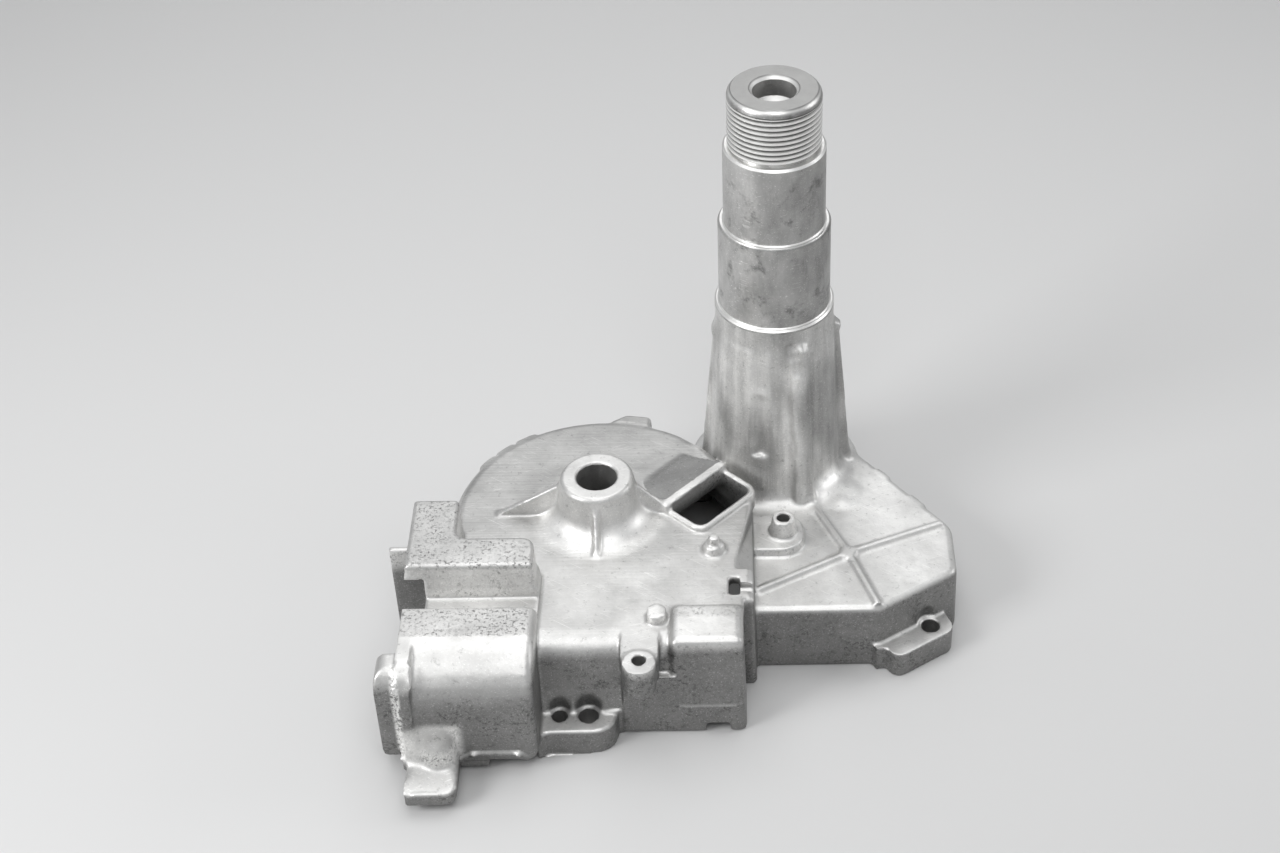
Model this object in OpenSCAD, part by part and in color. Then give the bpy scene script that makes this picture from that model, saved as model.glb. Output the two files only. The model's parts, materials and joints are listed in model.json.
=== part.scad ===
/* [Walls] */
// Thickness of the cast side walls
wall = 2.8; // [2:0.1:4]
// Thickness of the decks
deck_t = 3; // [2:0.1:4.5]
// Draft of the cast walls, in degrees
draft = 1.2; // [0.5:0.1:2]
// Radius of the cast top edges
edge_r = 1.8; // [0.8:0.1:2.4]
// Corner facets of the cast outlines
corner_n = 4; // [2:1:6]

/* [Spindle tube] */
// Height of the tube's end face above the rim
tube_h = 152.4; // [145:0.1:165]
// Thread diameter over its crests
thread_d = 26; // [24:0.5:28]
// Height of the threaded neck above the first ledge
thread_len = 17.3; // [12:0.1:20]
// Diameter of the top collar
collar_1_d = 28.7; // [28.2:0.1:30]
// Width of the bevel round the neck's end
neck_bevel_w = 1.2; // [0.8:0.1:2]
// Height of that bevel
neck_bevel_h = 1.6; // [1:0.1:2.4]
// Length of the top collar
collar_1_len = 24.5; // [18:0.5:28]
// Diameter of the middle collar
collar_2_d = 32; // [31:0.1:33]
// Length of the middle collar
collar_2_len = 27; // [20:0.5:30]
// Diameter of the lower collar
collar_3_d = 34.3; // [33.6:0.1:35]
// Diameter of the tube where it meets the deck
root_d = 39.5; // [38:0.5:41]
// Reach of the tube's right rib at the deck, from the spindle axis
rib_root_r = 22; // [21:0.1:23.5]
// Reach of the same rib at its upper end
rib_top_r = 18.7; // [18:0.1:19.5]
// Thickness of the tube's long ribs
tube_rib_t = 3.2; // [2:0.1:4.5]
// Directions of the tube's long ribs, in degrees
tube_rib_at = [0, 62, 118, 180, -63, -71];
// How much less each of them stands out
tube_rib_in = [0, 0.4, 0.4, 0.9, 0, 0.5];
// How far each of them ends under the lower collar's edge
tube_rib_drop = [10, 10, 10, 12.5, 7.5, 8];
// Radius of the sweep from the tube into the deck
root_fillet = 6; // [3:0.5:8]
// Depth of the cored groove in the tube's front, at its lower end
groove_depth = 1.2; // [0.5:0.1:1.6]
// Length of that groove
groove_len = 26; // [18:1:34]
// Direction of that groove, in degrees
groove_at = -104; // [-110:1:-98]
// Diameter of the seat bored in the tube's mouth
seat_d = 12; // [11:0.1:13]
// Depth of that seat
seat_depth = 7; // [5:0.5:9]
// Diameter of the spindle bore
spindle_d = 9; // [8:0.1:10]
// Length of the upper spindle bore
spindle_len = 16; // [10:0.5:22]
// Diameter of the cored middle of the tube
core_d = 15; // [13:0.5:17]
// Diameter of the lower bearing bore
lower_seat_d = 18; // [17:0.5:20]
// Depth of the lower bearing bore, above the hub's face
lower_seat_len = 30; // [20:1:40]
// Diameter of the hub under the deck
hub_d = 26; // [24:0.5:29]
// Height of the hub's face above the rim
hub_z = 9; // [4:0.5:12]

/* [Gear case] */
// Gear axis, right of the spindle axis
gear_x = -51.5; // [-54:0.1:-50]
// Gear axis, behind the spindle axis
gear_y = -35.6; // [-37:0.1:-34]
// Outer radius of the gear case
gear_r = 42.9; // [41.5:0.1:44]
// Roll radius of the gear case's top edge
gear_roll = 3; // [2:0.1:4]
// Thickness of the gear case's round wall
gear_wall = 4.5; // [3.5:0.1:5.5]
// Height of the gear deck above the rim
case_h = 33; // [31:0.1:35]
// Diameter of the shaft boss
boss_d = 21.2; // [20:0.1:23]
// Height of the shaft boss above the gear deck
boss_h = 14; // [11:0.1:17]
// Radius of the sweep from the boss into the deck
boss_fillet = 8.5; // [5:0.5:10]
// Diameter of the gear shaft's bore
shaft_d = 11.6; // [10:0.1:13]
// Depth of the shaft hub under the deck
shaft_hub_len = 8; // [5:0.5:12]
// Diameter of the shaft hub under the deck
shaft_hub_d = 20; // [18:0.5:22]
// Thickness of the boss webs
web_t = 1.8; // [1.2:0.1:2.6]
// Reach of the left web from the gear axis
left_web_reach = 29.5; // [24:0.5:32]
// Reach of the right web from the gear axis
right_web_reach = 22; // [19:0.5:24]
// Reach of the far lug past the gear case
far_lug_out = 3.3; // [2.5:0.1:4.5]
// Width of the far lug
far_lug_w = 11; // [9:0.5:13]
// Direction of the far lug from the gear axis, in degrees
far_lug_at = 77; // [72:1:80]

/* [Window] */
// Length of the window
window_len = 21.6; // [18:0.1:23]
// Width of the window
window_w = 11.8; // [10:0.1:13]
// Turn of the window, in degrees
window_turn = 47; // [43:1:50]
// Window centre, right of the spindle axis
window_x = -18.9; // [-20:0.1:-18]
// Window centre, behind the spindle axis
window_y = -32.3; // [-33:0.1:-31]
// Width of the window's rim
window_rim_w = 2.1; // [1.6:0.1:2.6]
// Height of the window's rim above the deck
window_rim_h = 1.8; // [1:0.1:2.5]
// Height of the hood's lip above the deck
hood_h = 3.6; // [2.5:0.1:4.5]
// Length of the hood's ramp
hood_len = 16.5; // [14:0.5:18]

/* [Pegs] */
// Stepped peg, right of the spindle axis
peg_x = -18.3; // [-19:0.1:-17.5]
// Stepped peg, behind the spindle axis
peg_y = -52.2; // [-53:0.1:-51.5]
// Diameter of the stepped peg
peg_d = 3.2; // [2.6:0.1:4]
// Flattened stud, right of the spindle axis
stud_x = -34; // [-35:0.1:-33]
// Flattened stud, behind the spindle axis
stud_y = -79.4; // [-80.5:0.1:-78.5]
// Diameter of the flattened stud
stud_d = 6; // [5:0.1:7]
// Width of the flattened stud over its flats
stud_w = 5.2; // [4:0.1:6]
// Height of the flattened stud above the deck
stud_h = 3.2; // [2:0.1:4]

/* [Link case] */
// Height of the link deck above the rim
link_h = 22; // [20:0.1:24]
// Front wall of the link case, behind the spindle axis
link_front_y = -66.4; // [-67.5:0.1:-65]
// Right end of the link case
link_right_x = 52.1; // [50:0.1:54]
// Start of the slanted corner, right of the spindle axis
link_slant_x = 28.6; // [26:0.1:31]
// Depth of the slanted corner
link_slant_d = 15.3; // [14:0.1:18]
// Length of the right end
link_end_len = 19.7; // [16:0.1:21]
// Step between the gear case and the link case
step_x = -6.5; // [-7.5:0.1:-5.5]
// Width of the slanted facet on that step, at its front
bevel_w = 6.4; // [5:0.1:7.5]
// Front end of the facet, behind the spindle axis
bevel_front_y = -60; // [-62:0.5:-58]
// Back end of the facet
bevel_back_y = -33; // [-35:0.5:-31]
// Outer radius of the wall round the back of the tube
lobe_r = 23.1; // [22.5:0.1:25]
// Direction in which the far edge meets that wall, in degrees
far_edge_at = 37.5; // [35:0.5:40]
// Width of the deck ribs
deck_rib_w = 2.6; // [1.8:0.1:3.4]
// Height of the deck ribs
deck_rib_h = 1.2; // [0.6:0.1:1.8]
// Meeting point of the deck ribs, right of the spindle axis
cross_x = 20.5; // [19:0.1:22]
// Meeting point of the deck ribs, behind the spindle axis
cross_y = -43; // [-44.5:0.1:-41.5]

/* [Worm tunnel] */
// Worm and motor axis, behind the spindle axis
worm_y = -77.5; // [-78.5:0.1:-76.5]
// Height of the worm axis above the rim
worm_z = 20.5; // [19.5:0.1:21.5]
// Bore of the worm tunnel
worm_d = 16; // [14:0.5:17]
// Front wall of the worm tunnel
tunnel_front_y = -89.4; // [-90.5:0.1:-88.5]
// Roll radius along the tunnel's front edge
tunnel_roll = 6.5; // [4:0.5:9]
// Left end of the worm tunnel
tunnel_left_x = -66.5; // [-68:0.1:-65.5]

/* [End box] */
// Height of the end box above the rim
box_h = 35; // [34:0.1:37]
// Front wall of the end box
box_front_y = -91.3; // [-92:0.1:-90]
// Left side of the end box
box_left_x = -31; // [-32:0.1:-30]
// Step of the front wall's lower skirt
skirt_t = 0.2; // [0.1:0.1:0.8]
// Height of the skirt under the end box
skirt_h = 10.5; // [9:0.5:12]
// Height of the skirt beside the end box
skirt_side_h = 22.5; // [20:0.5:24]
// Right side of the end box
box_right_x = -9.6; // [-10.5:0.1:-9]
// Back edge of the end box's raised top
box_back_y = -74.2; // [-75.5:0.1:-73.5]
// Bevel along the front wall's lower edge
foot_bevel = 1.1; // [0.5:0.1:1.6]
// Left side of the notch in the front wall, at the rim
notch_x = -20.9; // [-22:0.1:-20]
// Width of the notch
notch_w = 6.7; // [5:0.1:8]
// Height of the notch
notch_h = 3.6; // [2.5:0.1:5]
// Right side of the clip slot
clip_x = -11; // [-11.5:0.1:-10.5]
// Back of the clip slot
clip_y = -63.4; // [-64.5:0.1:-62.5]
// Width of the clip slot
clip_w = 3.1; // [2.5:0.1:4]
// Length of the clip slot
clip_len = 6.8; // [5:0.1:8]

/* [Motor bell] */
// Height of the bell's flat top above the rim
bell_h = 38; // [37:0.1:40]
// Height of the bell's underside above the rim
bell_z = 4.7; // [3.5:0.1:6]
// Front wall of the bell
bell_front_y = -104.6; // [-105.5:0.1:-103.5]
// Roll radius of the bell's front
bell_roll = 15.5; // [13:0.5:17]
// Flange plane of the bell
flange_x = -103; // [-104:0.1:-102]
// Thickness of the bell's flange
flange_t = 4; // [3:0.1:5]
// Reach of the flange past the bell's front
flange_lip = 3.4; // [2.5:0.1:4.5]
// Length of the motor spigot
spigot_len = 6; // [4:0.1:7]
// Wall of the motor spigot
spigot_t = 2; // [1.6:0.1:2.6]
// Radius of the front lip's end corners
lip_r = 3.2; // [1:0.1:5]
// Height of the front lip's top above the rim
lip_top = 35.3; // [33:0.1:36]
// Height of the block behind the slot
block_h = 46; // [44:0.1:48]
// Back of the block
block_back_y = -43.1; // [-45:0.1:-42.5]
// Front wall of the block, which backs the slot
block_front_y = -71.2; // [-72:0.1:-70.5]
// Width of the block's rear arm
block_arm_w = 13.6; // [11:0.1:14.5]
// Back of the block's long part
block_mid_y = -59; // [-60:0.1:-58]
// Floor of the slot above the rim
slot_z = 34.1; // [33.5:0.1:35]
// Front edge of the slot
slot_front_y = -78.8; // [-79.5:0.1:-78]
// Left end of the slot's floor
slot_left_x = -97.8; // [-98.5:0.1:-97]
// Reach of the foot past the bell's front
foot_reach = 14.5; // [12:0.1:16]
// Width of the foot
foot_w = 13.8; // [12:0.1:15]
// Radius of the ridge on the foot
ridge_r = 4.6; // [4:0.1:5.5]
// Height of the ridge's domed end above the rim
ridge_z = 12.8; // [11:0.1:14]
// Height of the foot's top against the bell, above the rim
foot_top = 9.8; // [8:0.1:12]
// Height of the foot's top at its front edge, above the rim
foot_nose = 7.8; // [6.5:0.1:9]
// Height of the foot's sole above the rim
foot_z = 3.4; // [2:0.1:4.5]
// Depth of the motor's seat in the bell
motor_depth = 15; // [12:0.5:17]

/* [Fixings] */
// Height of the ears
ear_h = 8.5; // [7:0.1:10]
// Front screw hole
ear_hole_a_d = 4.3; // [3.5:0.1:5]
// Front dowel hole
ear_hole_b_d = 5.4; // [4.5:0.1:6]
// Spacing of the two front holes
ear_hole_gap = 8; // [7:0.1:9]
// Right ear hole
ear_hole_c_d = 5.2; // [4:0.1:6]
// Reach of the right ear past the slanted wall
ear_out = 7.6; // [6.5:0.1:8.5]
// Length of the right ear along the slanted wall
ear_len = 22.2; // [20:0.1:24]
// Place of the right ear's hole along the slanted wall
ear_hole_c_at = 16.6; // [15:0.1:18]
// Diameter of the front screw post
post_d = 9.2; // [8.5:0.1:10]
// Hole in the front screw post
post_hole_d = 3.8; // [3:0.1:4.5]
// Depth of that hole
post_hole_len = 8; // [6:0.5:8.5]
// Height of the front post's face above the gear deck
post_rise = 0.5; // [0.2:0.1:1]
// Diameter of the small post's top
small_post_d = 6.6; // [6:0.1:7.5]
// Hole in the small post
small_post_hole_d = 3.8; // [3:0.1:4.4]
// Height of the small post above the rim
small_post_z = 30; // [28:0.1:32]
// Height of the front post's underside above the rim
post_z = 23.7; // [22:0.1:26]

/* [Hidden] */
$fn = 72;
CAST = "#c4c7ca";
OVER = 1;
ledge_1_z = tube_h - thread_len;
ledge_2_z = ledge_1_z - collar_1_len;
ledge_3_z = ledge_2_z - collar_2_len;
motor_back_y = 2 * worm_y - bell_front_y - 3;
link_back_y = link_front_y + link_slant_d + link_end_len;
ear_y = tunnel_front_y - 2.6;
ear_x = tunnel_left_x + 5.1;
post_y = box_front_y - 4.9;
post_x = -38.5;
small_post_x = 1.8;
small_post_y = -35.6;

clip_slot = [[clip_x - clip_w, clip_y - clip_len, 0.7], [clip_x, clip_y - clip_len, 0.7],
    [clip_x, clip_y, 0.7], [clip_x - clip_w, clip_y, 0.7]];
bevel_low = bevel(0.6, 0.6);
bevel_high = bevel(bevel_w, 0.9);

// Outline of the cut that makes the step's facet, with its reach at both ends
function bevel(front, back) = [[step_x - front, bevel_front_y, 0.1], [step_x + 3, bevel_front_y, 0.1],
    [step_x + 3, bevel_back_y, 0.1], [step_x - back, bevel_back_y, 0.1]];

// A point turned about the origin
function turned(p, a) = [p.x * cos(a) - p.y * sin(a), p.x * sin(a) + p.y * cos(a)];
function unit(v) = v / norm(v);
function arc(c, r, a0, a1, n) = [for (k = [0:n]) let(a = a0 + (a1 - a0) * k / n) c + r * [cos(a), sin(a)]];

// One rounded corner between two edge directions
function corner(v, u1, u2, r, n) = let(
    bend = atan2(u1.x * u2.y - u1.y * u2.x, u1 * u2),
    side = bend < 0 ? -1 : 1,
    start = v - u1 * r * tan(abs(bend) / 2),
    centre = start + side * r * [-u1.y, u1.x]
) [for (k = [0:n]) centre + turned(start - centre, bend * k / n)];

// An outline of rounded corners [x, y, radius], anticlockwise, moved inwards by d
function ring(c, d, n) = [for (i = [0:len(c) - 1]) let(
    v = [c[i].x, c[i].y],
    a = c[(i + len(c) - 1) % len(c)],
    b = c[(i + 1) % len(c)],
    u1 = unit(v - [a.x, a.y]),
    u2 = unit([b.x, b.y] - v),
    n1 = [u1.y, -u1.x],
    n2 = [u2.y, -u2.x],
    convex = u1.x * u2.y - u1.y * u2.x > 0,
    moved = v - d * (n1 + n2) / (1 + n1 * n2),
    r = convex ? max(c[i].z - d, 0.1) : c[i].z + d
) each corner(moved, u1, u2, r, n)];

// A solid skinned over level rings that have equal numbers of points
module skin(rings, heights) {
    m = len(rings[0]);
    k = len(rings);
    points = [for (i = [0:k - 1]) for (p = rings[i]) [p.x, p.y, heights[i]]];
    sides = [for (i = [0:k - 2]) for (j = [0:m - 1])
        [i * m + j, (i + 1) * m + j, (i + 1) * m + (j + 1) % m, i * m + (j + 1) % m]];
    polyhedron(points, concat([[for (j = [0:m - 1]) j]], sides, [[for (j = [m - 1:-1:0]) (k - 1) * m + j]]), 4);
}

// A cast block with drafted walls and a rounded top edge
module cast_block(c, z0, z1, inset = 0, round_r = edge_r, steps = 3) {
    lean = tan(draft);
    low = z1 - round_r;
    insets = concat([inset + lean * z0, inset + lean * low],
        [for (k = [1:steps]) inset + lean * low + round_r * (1 - cos(90 * k / steps))]);
    heights = concat([z0, low], [for (k = [1:steps]) low + round_r * sin(90 * k / steps)]);
    skin([for (d = insets) ring(c, d, corner_n)], heights);
}

// A prism along X with an outline of [y, z] points
module along_x(x0, x1, outline) {
    translate([x0, 0, 0]) rotate([90, 0, 90]) linear_extrude(x1 - x0) polygon(outline);
}

// Outline of the link case, at the rim
function link_outline() = [
    [-40, link_front_y, 3],
    [link_slant_x, link_front_y, 3],
    [link_right_x, link_front_y + link_slant_d, 4],
    [link_right_x, link_back_y, 9],
    [(lobe_r - 0.5) * cos(far_edge_at), (lobe_r - 0.5) * sin(far_edge_at), 1],
    [-40, 5, 3]
];

// Outline of the raised floor between the gear case and the step
function bridge_outline() = [
    [-60, worm_y + 4.4, 1],
    [step_x, worm_y + 4.4, 1.2],
    [step_x, -25.5, 2],
    [-16, -13, 2],
    [-22, -5, 2],
    [-60, -5, 2]
];

function box_outline() = [
    [box_left_x, box_front_y, 2.5],
    [box_right_x, box_front_y, 2.5],
    [box_right_x, box_back_y, 2.5],
    [box_left_x, box_back_y, 3]
];

// A drafted drum with a rounded top edge, about the upright axis
module drum(r, h, round_r) {
    lean = tan(draft);
    rotate_extrude($fn = 120) polygon(concat(
        [[0, 0], [r, 0]],
        arc([r - lean * (h - round_r) - round_r, h - round_r], round_r, 0, 90, 5),
        [[0, h]]
    ));
}

module shaft_boss() {
    top = case_h + boss_h;
    translate([gear_x, gear_y, 0]) rotate_extrude($fn = 96) polygon(concat(
        [[0, case_h - 1], [boss_d / 2 + boss_fillet + 1, case_h - 1], [boss_d / 2 + boss_fillet + 1, case_h]],
        arc([boss_d / 2 + boss_fillet + 0.6, case_h + boss_fillet], boss_fillet, 270, 180, 7),
        [[boss_d / 2, top - 0.8], [boss_d / 2 - 0.8, top], [0, top]]
    ));
}

// A triangular web from the boss down to the deck
module boss_web(turn, reach) {
    translate([gear_x, gear_y, 0]) rotate([0, 0, turn]) translate([0, web_t / 2, 0]) rotate([90, 0, 0])
        linear_extrude(web_t) polygon([[0, case_h - 1], [reach, case_h - 1], [reach, case_h + 0.3],
            [boss_d / 2, case_h + boss_h - 2.5], [0, case_h + boss_h - 2.5]]);
}

module tube_body() {
    root_r = root_d / 2;
    collar_r = collar_3_d / 2;
    root_lean = 5;
    rotate_extrude($fn = 120) polygon(concat(
        [[0, link_h - 4], [root_r + root_fillet, link_h - 4], [root_r + root_fillet, link_h]],
        arc([root_r + root_fillet, link_h + root_fillet], root_fillet, 270, 180 + root_lean, 6),
        [
            [collar_r + 0.4, ledge_3_z - 9], [collar_r, ledge_3_z - 7],
            [collar_r, ledge_3_z - 0.5], [collar_r - 0.5, ledge_3_z],
            [collar_2_d / 2 + 0.25, ledge_3_z], [collar_2_d / 2, ledge_3_z + 0.3],
            [collar_2_d / 2 - 0.1, ledge_2_z - 0.7], [collar_2_d / 2 - 0.7, ledge_2_z],
            [collar_1_d / 2 + 0.25, ledge_2_z], [collar_1_d / 2, ledge_2_z + 0.3],
            [collar_1_d / 2 - 0.1, ledge_1_z - 0.6], [collar_1_d / 2 - 0.7, ledge_1_z],
            [thread_d / 2 - 0.5, ledge_1_z], [thread_d / 2 - 0.5, ledge_1_z + 1],
            [thread_d / 2, ledge_1_z + 1.6], [thread_d / 2, tube_h - neck_bevel_h],
            [thread_d / 2 - neck_bevel_w, tube_h], [0, tube_h]
        ]
    ));
}

// A long rib that widens towards the deck
module tube_rib(turn, less, drop) {
    top_z = ledge_3_z - drop;
    rotate([0, 0, turn]) translate([0, tube_rib_t / 2, 0]) rotate([90, 0, 0])
        linear_extrude(tube_rib_t) polygon([[root_d / 4, link_h - 2], [rib_root_r + 3 - less, link_h - 2],
            [rib_root_r + 0.8 - less, link_h + 5], [rib_root_r - less, link_h + 14], [rib_top_r - less, top_z],
            [collar_3_d / 2 - 0.2, top_z + 2.2], [root_d / 4, top_z + 2.2]]);
}

// A round-bottomed groove down the tube's front, cut along its slope
module tube_groove() {
    z0 = link_h + 16.5;
    r = 4.5;
    lean = atan2(root_d / 2 - collar_3_d / 2, ledge_3_z - link_h) - atan2(groove_depth, groove_len);
    rotate([0, 0, groove_at]) translate([root_d / 2 + r - groove_depth - 0.8, 0, z0])
        rotate([0, -lean, 0]) cylinder(r = r, h = groove_len + 6, $fn = 48);
}

// A raised bead on the link deck between two points
module deck_rib(a, b) {
    long = norm(b - a);
    translate([a.x, a.y, link_h]) rotate([0, 0, atan2(b.y - a.y, b.x - a.x)])
        rotate([90, 0, 90]) linear_extrude(long) polygon([
            [-deck_rib_w / 2 - 0.4, -1], [deck_rib_w / 2 + 0.4, -1], [deck_rib_w / 2, 0.2],
            [deck_rib_w / 2 - 0.7, deck_rib_h], [-deck_rib_w / 2 + 0.7, deck_rib_h], [-deck_rib_w / 2, 0.2]]);
}

module link_ribs() {
    cross = [cross_x, cross_y];
    deck_rib(cross, [step_x, link_front_y + 8.2]);
    deck_rib(cross, [link_slant_x - 0.6, link_front_y + 1.8]);
    deck_rib(cross, [link_right_x - 3.2, link_back_y + 0.6]);
    deck_rib(cross, [9, -17]);
    translate([cross_x, cross_y, link_h - 1]) cylinder(d = deck_rib_w + 2.4, h = 1 + deck_rib_h);
}

module small_post_pad() {
    c = [[step_x - 1, small_post_y - 8.6, 0.5], [small_post_x + 6.6, small_post_y - 8.6, 7],
        [small_post_x + 6.6, small_post_y + 8, 6], [step_x - 1, small_post_y + 8, 0.5]];
    skin([ring(c, 0, 6), ring(c, 0.9, 6)], [link_h - 0.6, link_h + 2.5]);
    translate([small_post_x, small_post_y, link_h])
        cylinder(d1 = small_post_d + 2.2, d2 = small_post_d, h = small_post_z - link_h, $fn = 48);
}

// Pegs on the gear deck
module deck_pegs() {
    translate([peg_x, peg_y, case_h]) {
        translate([0, 0, -1]) cylinder(d1 = peg_d + 4.2, d2 = peg_d + 2.4, h = 3.6, $fn = 36);
        cylinder(d = peg_d, h = 5.2, $fn = 36);
    }
    translate([stud_x, stud_y, case_h - 1]) intersection() {
        cylinder(d = stud_d, h = stud_h + 1, $fn = 36);
        translate([-stud_w / 2, -stud_d / 2, 0]) cube([stud_w, stud_d, stud_h + 1]);
    }
}

// The rolled front of the worm tunnel and the wall below it
module tunnel_front() {
    x1 = box_left_x + 4;
    along_x(tunnel_left_x - 1, x1, concat(
        [[gear_y, 0], [gear_y, case_h]],
        arc([tunnel_front_y + tunnel_roll, case_h - tunnel_roll], tunnel_roll, 90, 180, 8),
        [[tunnel_front_y, 2 * ear_h], [tunnel_front_y - 1.6, ear_h], [tunnel_front_y - 1.6, 0]]
    ));
    skirt([[post_x - 5.2, 0], [box_right_x - wall, 0], [box_right_x - wall, skirt_h], [box_left_x + 2, skirt_h],
        [box_left_x + 2, skirt_side_h], [post_x - 5.2, skirt_side_h]]);
}

// The lower skirt of the front wall, as seen from the front
module skirt(outline) {
    translate([0, worm_y, 0]) rotate([90, 0, 0])
        linear_extrude(worm_y - box_front_y + skirt_t) polygon(outline);
}

module front_post() {
    side = post_d + 1.2;
    translate([post_x, post_y, post_z]) cylinder(d = post_d, h = case_h + post_rise - post_z, $fn = 60);
    translate([post_x - side / 2, post_y + 2.5, post_z]) cube([side, worm_y - post_y - 2.5, case_h - post_z]);
    translate([post_x - post_d / 2, post_y, post_z]) cube([post_d, 4, case_h - post_z]);
}

module front_ear() {
    right = ear_x + ear_hole_gap + 7.6;
    front = ear_y - 6.4;
    c = [[tunnel_left_x - 1, front - 2.4, 0.4], [tunnel_left_x + 2, front, 3], [right, front, 6.5],
        [right + 1, tunnel_front_y + 3, 0.5], [tunnel_left_x - 1, tunnel_front_y + 3, 0.5]];
    cast_block(c, 0, ear_h, 0, 0.6, 2);
}

// Frame of the slanted corner: X along the slant from its start, Y into the case
module on_slant() {
    translate([link_slant_x, link_front_y, 0])
        rotate([0, 0, atan2(link_slant_d, link_right_x - link_slant_x)]) children();
}

module right_ear() {
    c = [[-1.8, 1.7, 0.2], [-1.8, -1.4, 0.2], [0.5, -2.2, 1.5], [1.1, -ear_out, 3],
        [ear_len, -ear_out, 4], [ear_len + 1.4, 1.7, 0.2]];
    on_slant() linear_extrude(ear_h) polygon(ring(c, 0, corner_n));
}

// The bell, skinned along X, with a rounded right end
module bell_body() {
    end_r = 2.6;
    c = [[bell_front_y, bell_z, 0.8], [block_mid_y - 1.5, bell_z, 0.8],
        [block_mid_y - 1.5, bell_h, 0.8], [bell_front_y, bell_h, bell_roll]];
    insets = concat([0, 0], [for (k = [1:4]) end_r * (1 - cos(22.5 * k))]);
    rows = concat([flange_x, tunnel_left_x - end_r],
        [for (k = [1:4]) tunnel_left_x - end_r + end_r * sin(22.5 * k)]);
    multmatrix([[0, 0, 1, 0], [1, 0, 0, 0], [0, 1, 0, 0]]) skin([for (d = insets) ring(c, d, 8)], rows);
}

function block_outline() = [
    [flange_x, block_front_y, 1],
    [tunnel_left_x - 0.8, block_front_y, 1],
    [tunnel_left_x - 0.8, block_mid_y, 4],
    [flange_x + block_arm_w, block_mid_y, 3],
    [flange_x + block_arm_w, block_back_y, 2],
    [flange_x, block_back_y, 1]
];

module flange() {
    front = bell_front_y - flange_lip;
    low = [[front, bell_z, 0.5], [block_mid_y, bell_z, 0.5], [block_mid_y, bell_h, 0.5],
        [front + 3.6, bell_h, 7]];
    high = [[block_back_y + 1, bell_z], [block_back_y + 1, block_h - 4],
        [block_front_y, block_h - 4], [block_front_y, bell_z]];
    along_x(flange_x, flange_x + flange_t, ring(low, 0, 8));
    along_x(flange_x, flange_x + flange_t, high);
}

module foot() {
    y0 = bell_front_y - foot_reach;
    x0 = flange_x + 1.3;
    c = [[x0, y0, 0.8], [x0 + foot_w, y0, 3], [x0 + foot_w, bell_front_y + 4, 1], [x0, bell_front_y + 4, 1]];
    intersection() {
        cast_block(c, foot_z, foot_top + 6, 0, 0.6, 2);
        along_x(x0 - 1, x0 + foot_w + 1, [[bell_front_y + 5, foot_z], [bell_front_y + 5, foot_top + 1],
            [bell_front_y - flange_lip, foot_top], [y0 + 1.6, foot_nose], [y0 + 0.4, foot_nose - 0.6],
            [y0, foot_nose - 1.4], [y0, foot_z]]);
    }
    translate([x0 + foot_w - ridge_r - 0.5, bell_front_y - 2.2, foot_z]) {
        cylinder(r = ridge_r, h = ridge_z - foot_z, $fn = 48);
        translate([0, 0, ridge_z - foot_z]) sphere(r = ridge_r, $fn = 48);
    }
    translate([x0 + foot_w - 6, bell_front_y + 0.6, foot_z - 1.5]) cube([foot_w, 5, bell_z - foot_z + 2]);
}

// Oval of the motor's mouth, with an inset
function motor_outline(d) = [
    [bell_front_y + d, bell_z + d - 2.6, 3],
    [motor_back_y - d, bell_z + d - 2.6, 3],
    [motor_back_y - d, bell_h + 3.2 - d, 0.8],
    [bell_front_y + d, bell_h - d, 11 - d]
];

// The two bowed lips that seat the motor
module spigot() {
    gap_y = slot_front_y - 14;
    difference() {
        along_x(flange_x - spigot_len, flange_x + 1, ring(motor_outline(wall - 1), 0, 8));
        translate([flange_x - spigot_len - OVER, gap_y, worm_z])
            cube([spigot_len + OVER, motor_back_y - wall - spigot_t - gap_y, bell_h]);
        translate([0, gap_y + OVER, 0]) rotate([90, 0, 0])
            linear_extrude(gap_y - bell_front_y + 2 * OVER) lip_waste();
    }
}

// What is trimmed off the front lip's end, as seen from the front
module lip_waste() {
    x0 = flange_x - spigot_len;
    low = bell_z + wall - 3.6;
    polygon(concat(
        [[x0 - OVER, bell_h + OVER], [x0 - OVER, low - OVER], [flange_x, low - OVER], [flange_x, low]],
        arc([x0 + lip_r, low + lip_r], lip_r, 270, 180, 6),
        arc([x0 + lip_r, lip_top - lip_r], lip_r, 180, 90, 6),
        [[flange_x, lip_top], [flange_x, bell_h + OVER]]
    ));
}

module outside() {
    translate([gear_x, gear_y, 0]) drum(gear_r, case_h, gear_roll);
    cast_block(link_outline(), 0, link_h);
    drum(lobe_r, link_h - 0.3, edge_r);
    cast_block(bridge_outline(), 0, case_h);
    cast_block(box_outline(), 0, box_h, 0, 2.2, 4);
    cast_block(block_outline(), bell_z, block_h, -0.6, 0.8, 2);
    tube_body();
    for (k = [0:len(tube_rib_at) - 1]) tube_rib(tube_rib_at[k], tube_rib_in[k], tube_rib_drop[k]);
    shaft_boss();
    boss_web(180, left_web_reach);
    boss_web(0, right_web_reach);
    boss_web(-90, boss_d / 2 + boss_fillet);
    boss_web(90, boss_d / 2 + boss_fillet);
    far_lug();
    link_ribs();
    small_post_pad();
    deck_pegs();
    window_frame();
    tunnel_front();
    front_post();
    front_ear();
    right_ear();
    bell_body();
    flange();
    foot();
    spigot();
}

// A lug on the far edge, faired into the gear case on its left
module far_lug() {
    c = [[gear_r - 3, -far_lug_w / 2, 0.5], [gear_r + far_lug_out, -far_lug_w / 2 + 0.6, 2.4],
        [gear_r + far_lug_out - 0.6, far_lug_w / 2 - 1.5, 3], [gear_r - 3, far_lug_w / 2 + 4, 0.5]];
    translate([gear_x, gear_y, 0]) rotate([0, 0, far_lug_at]) cast_block(c, 0, case_h, 0, 0.8, 2);
}

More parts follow.
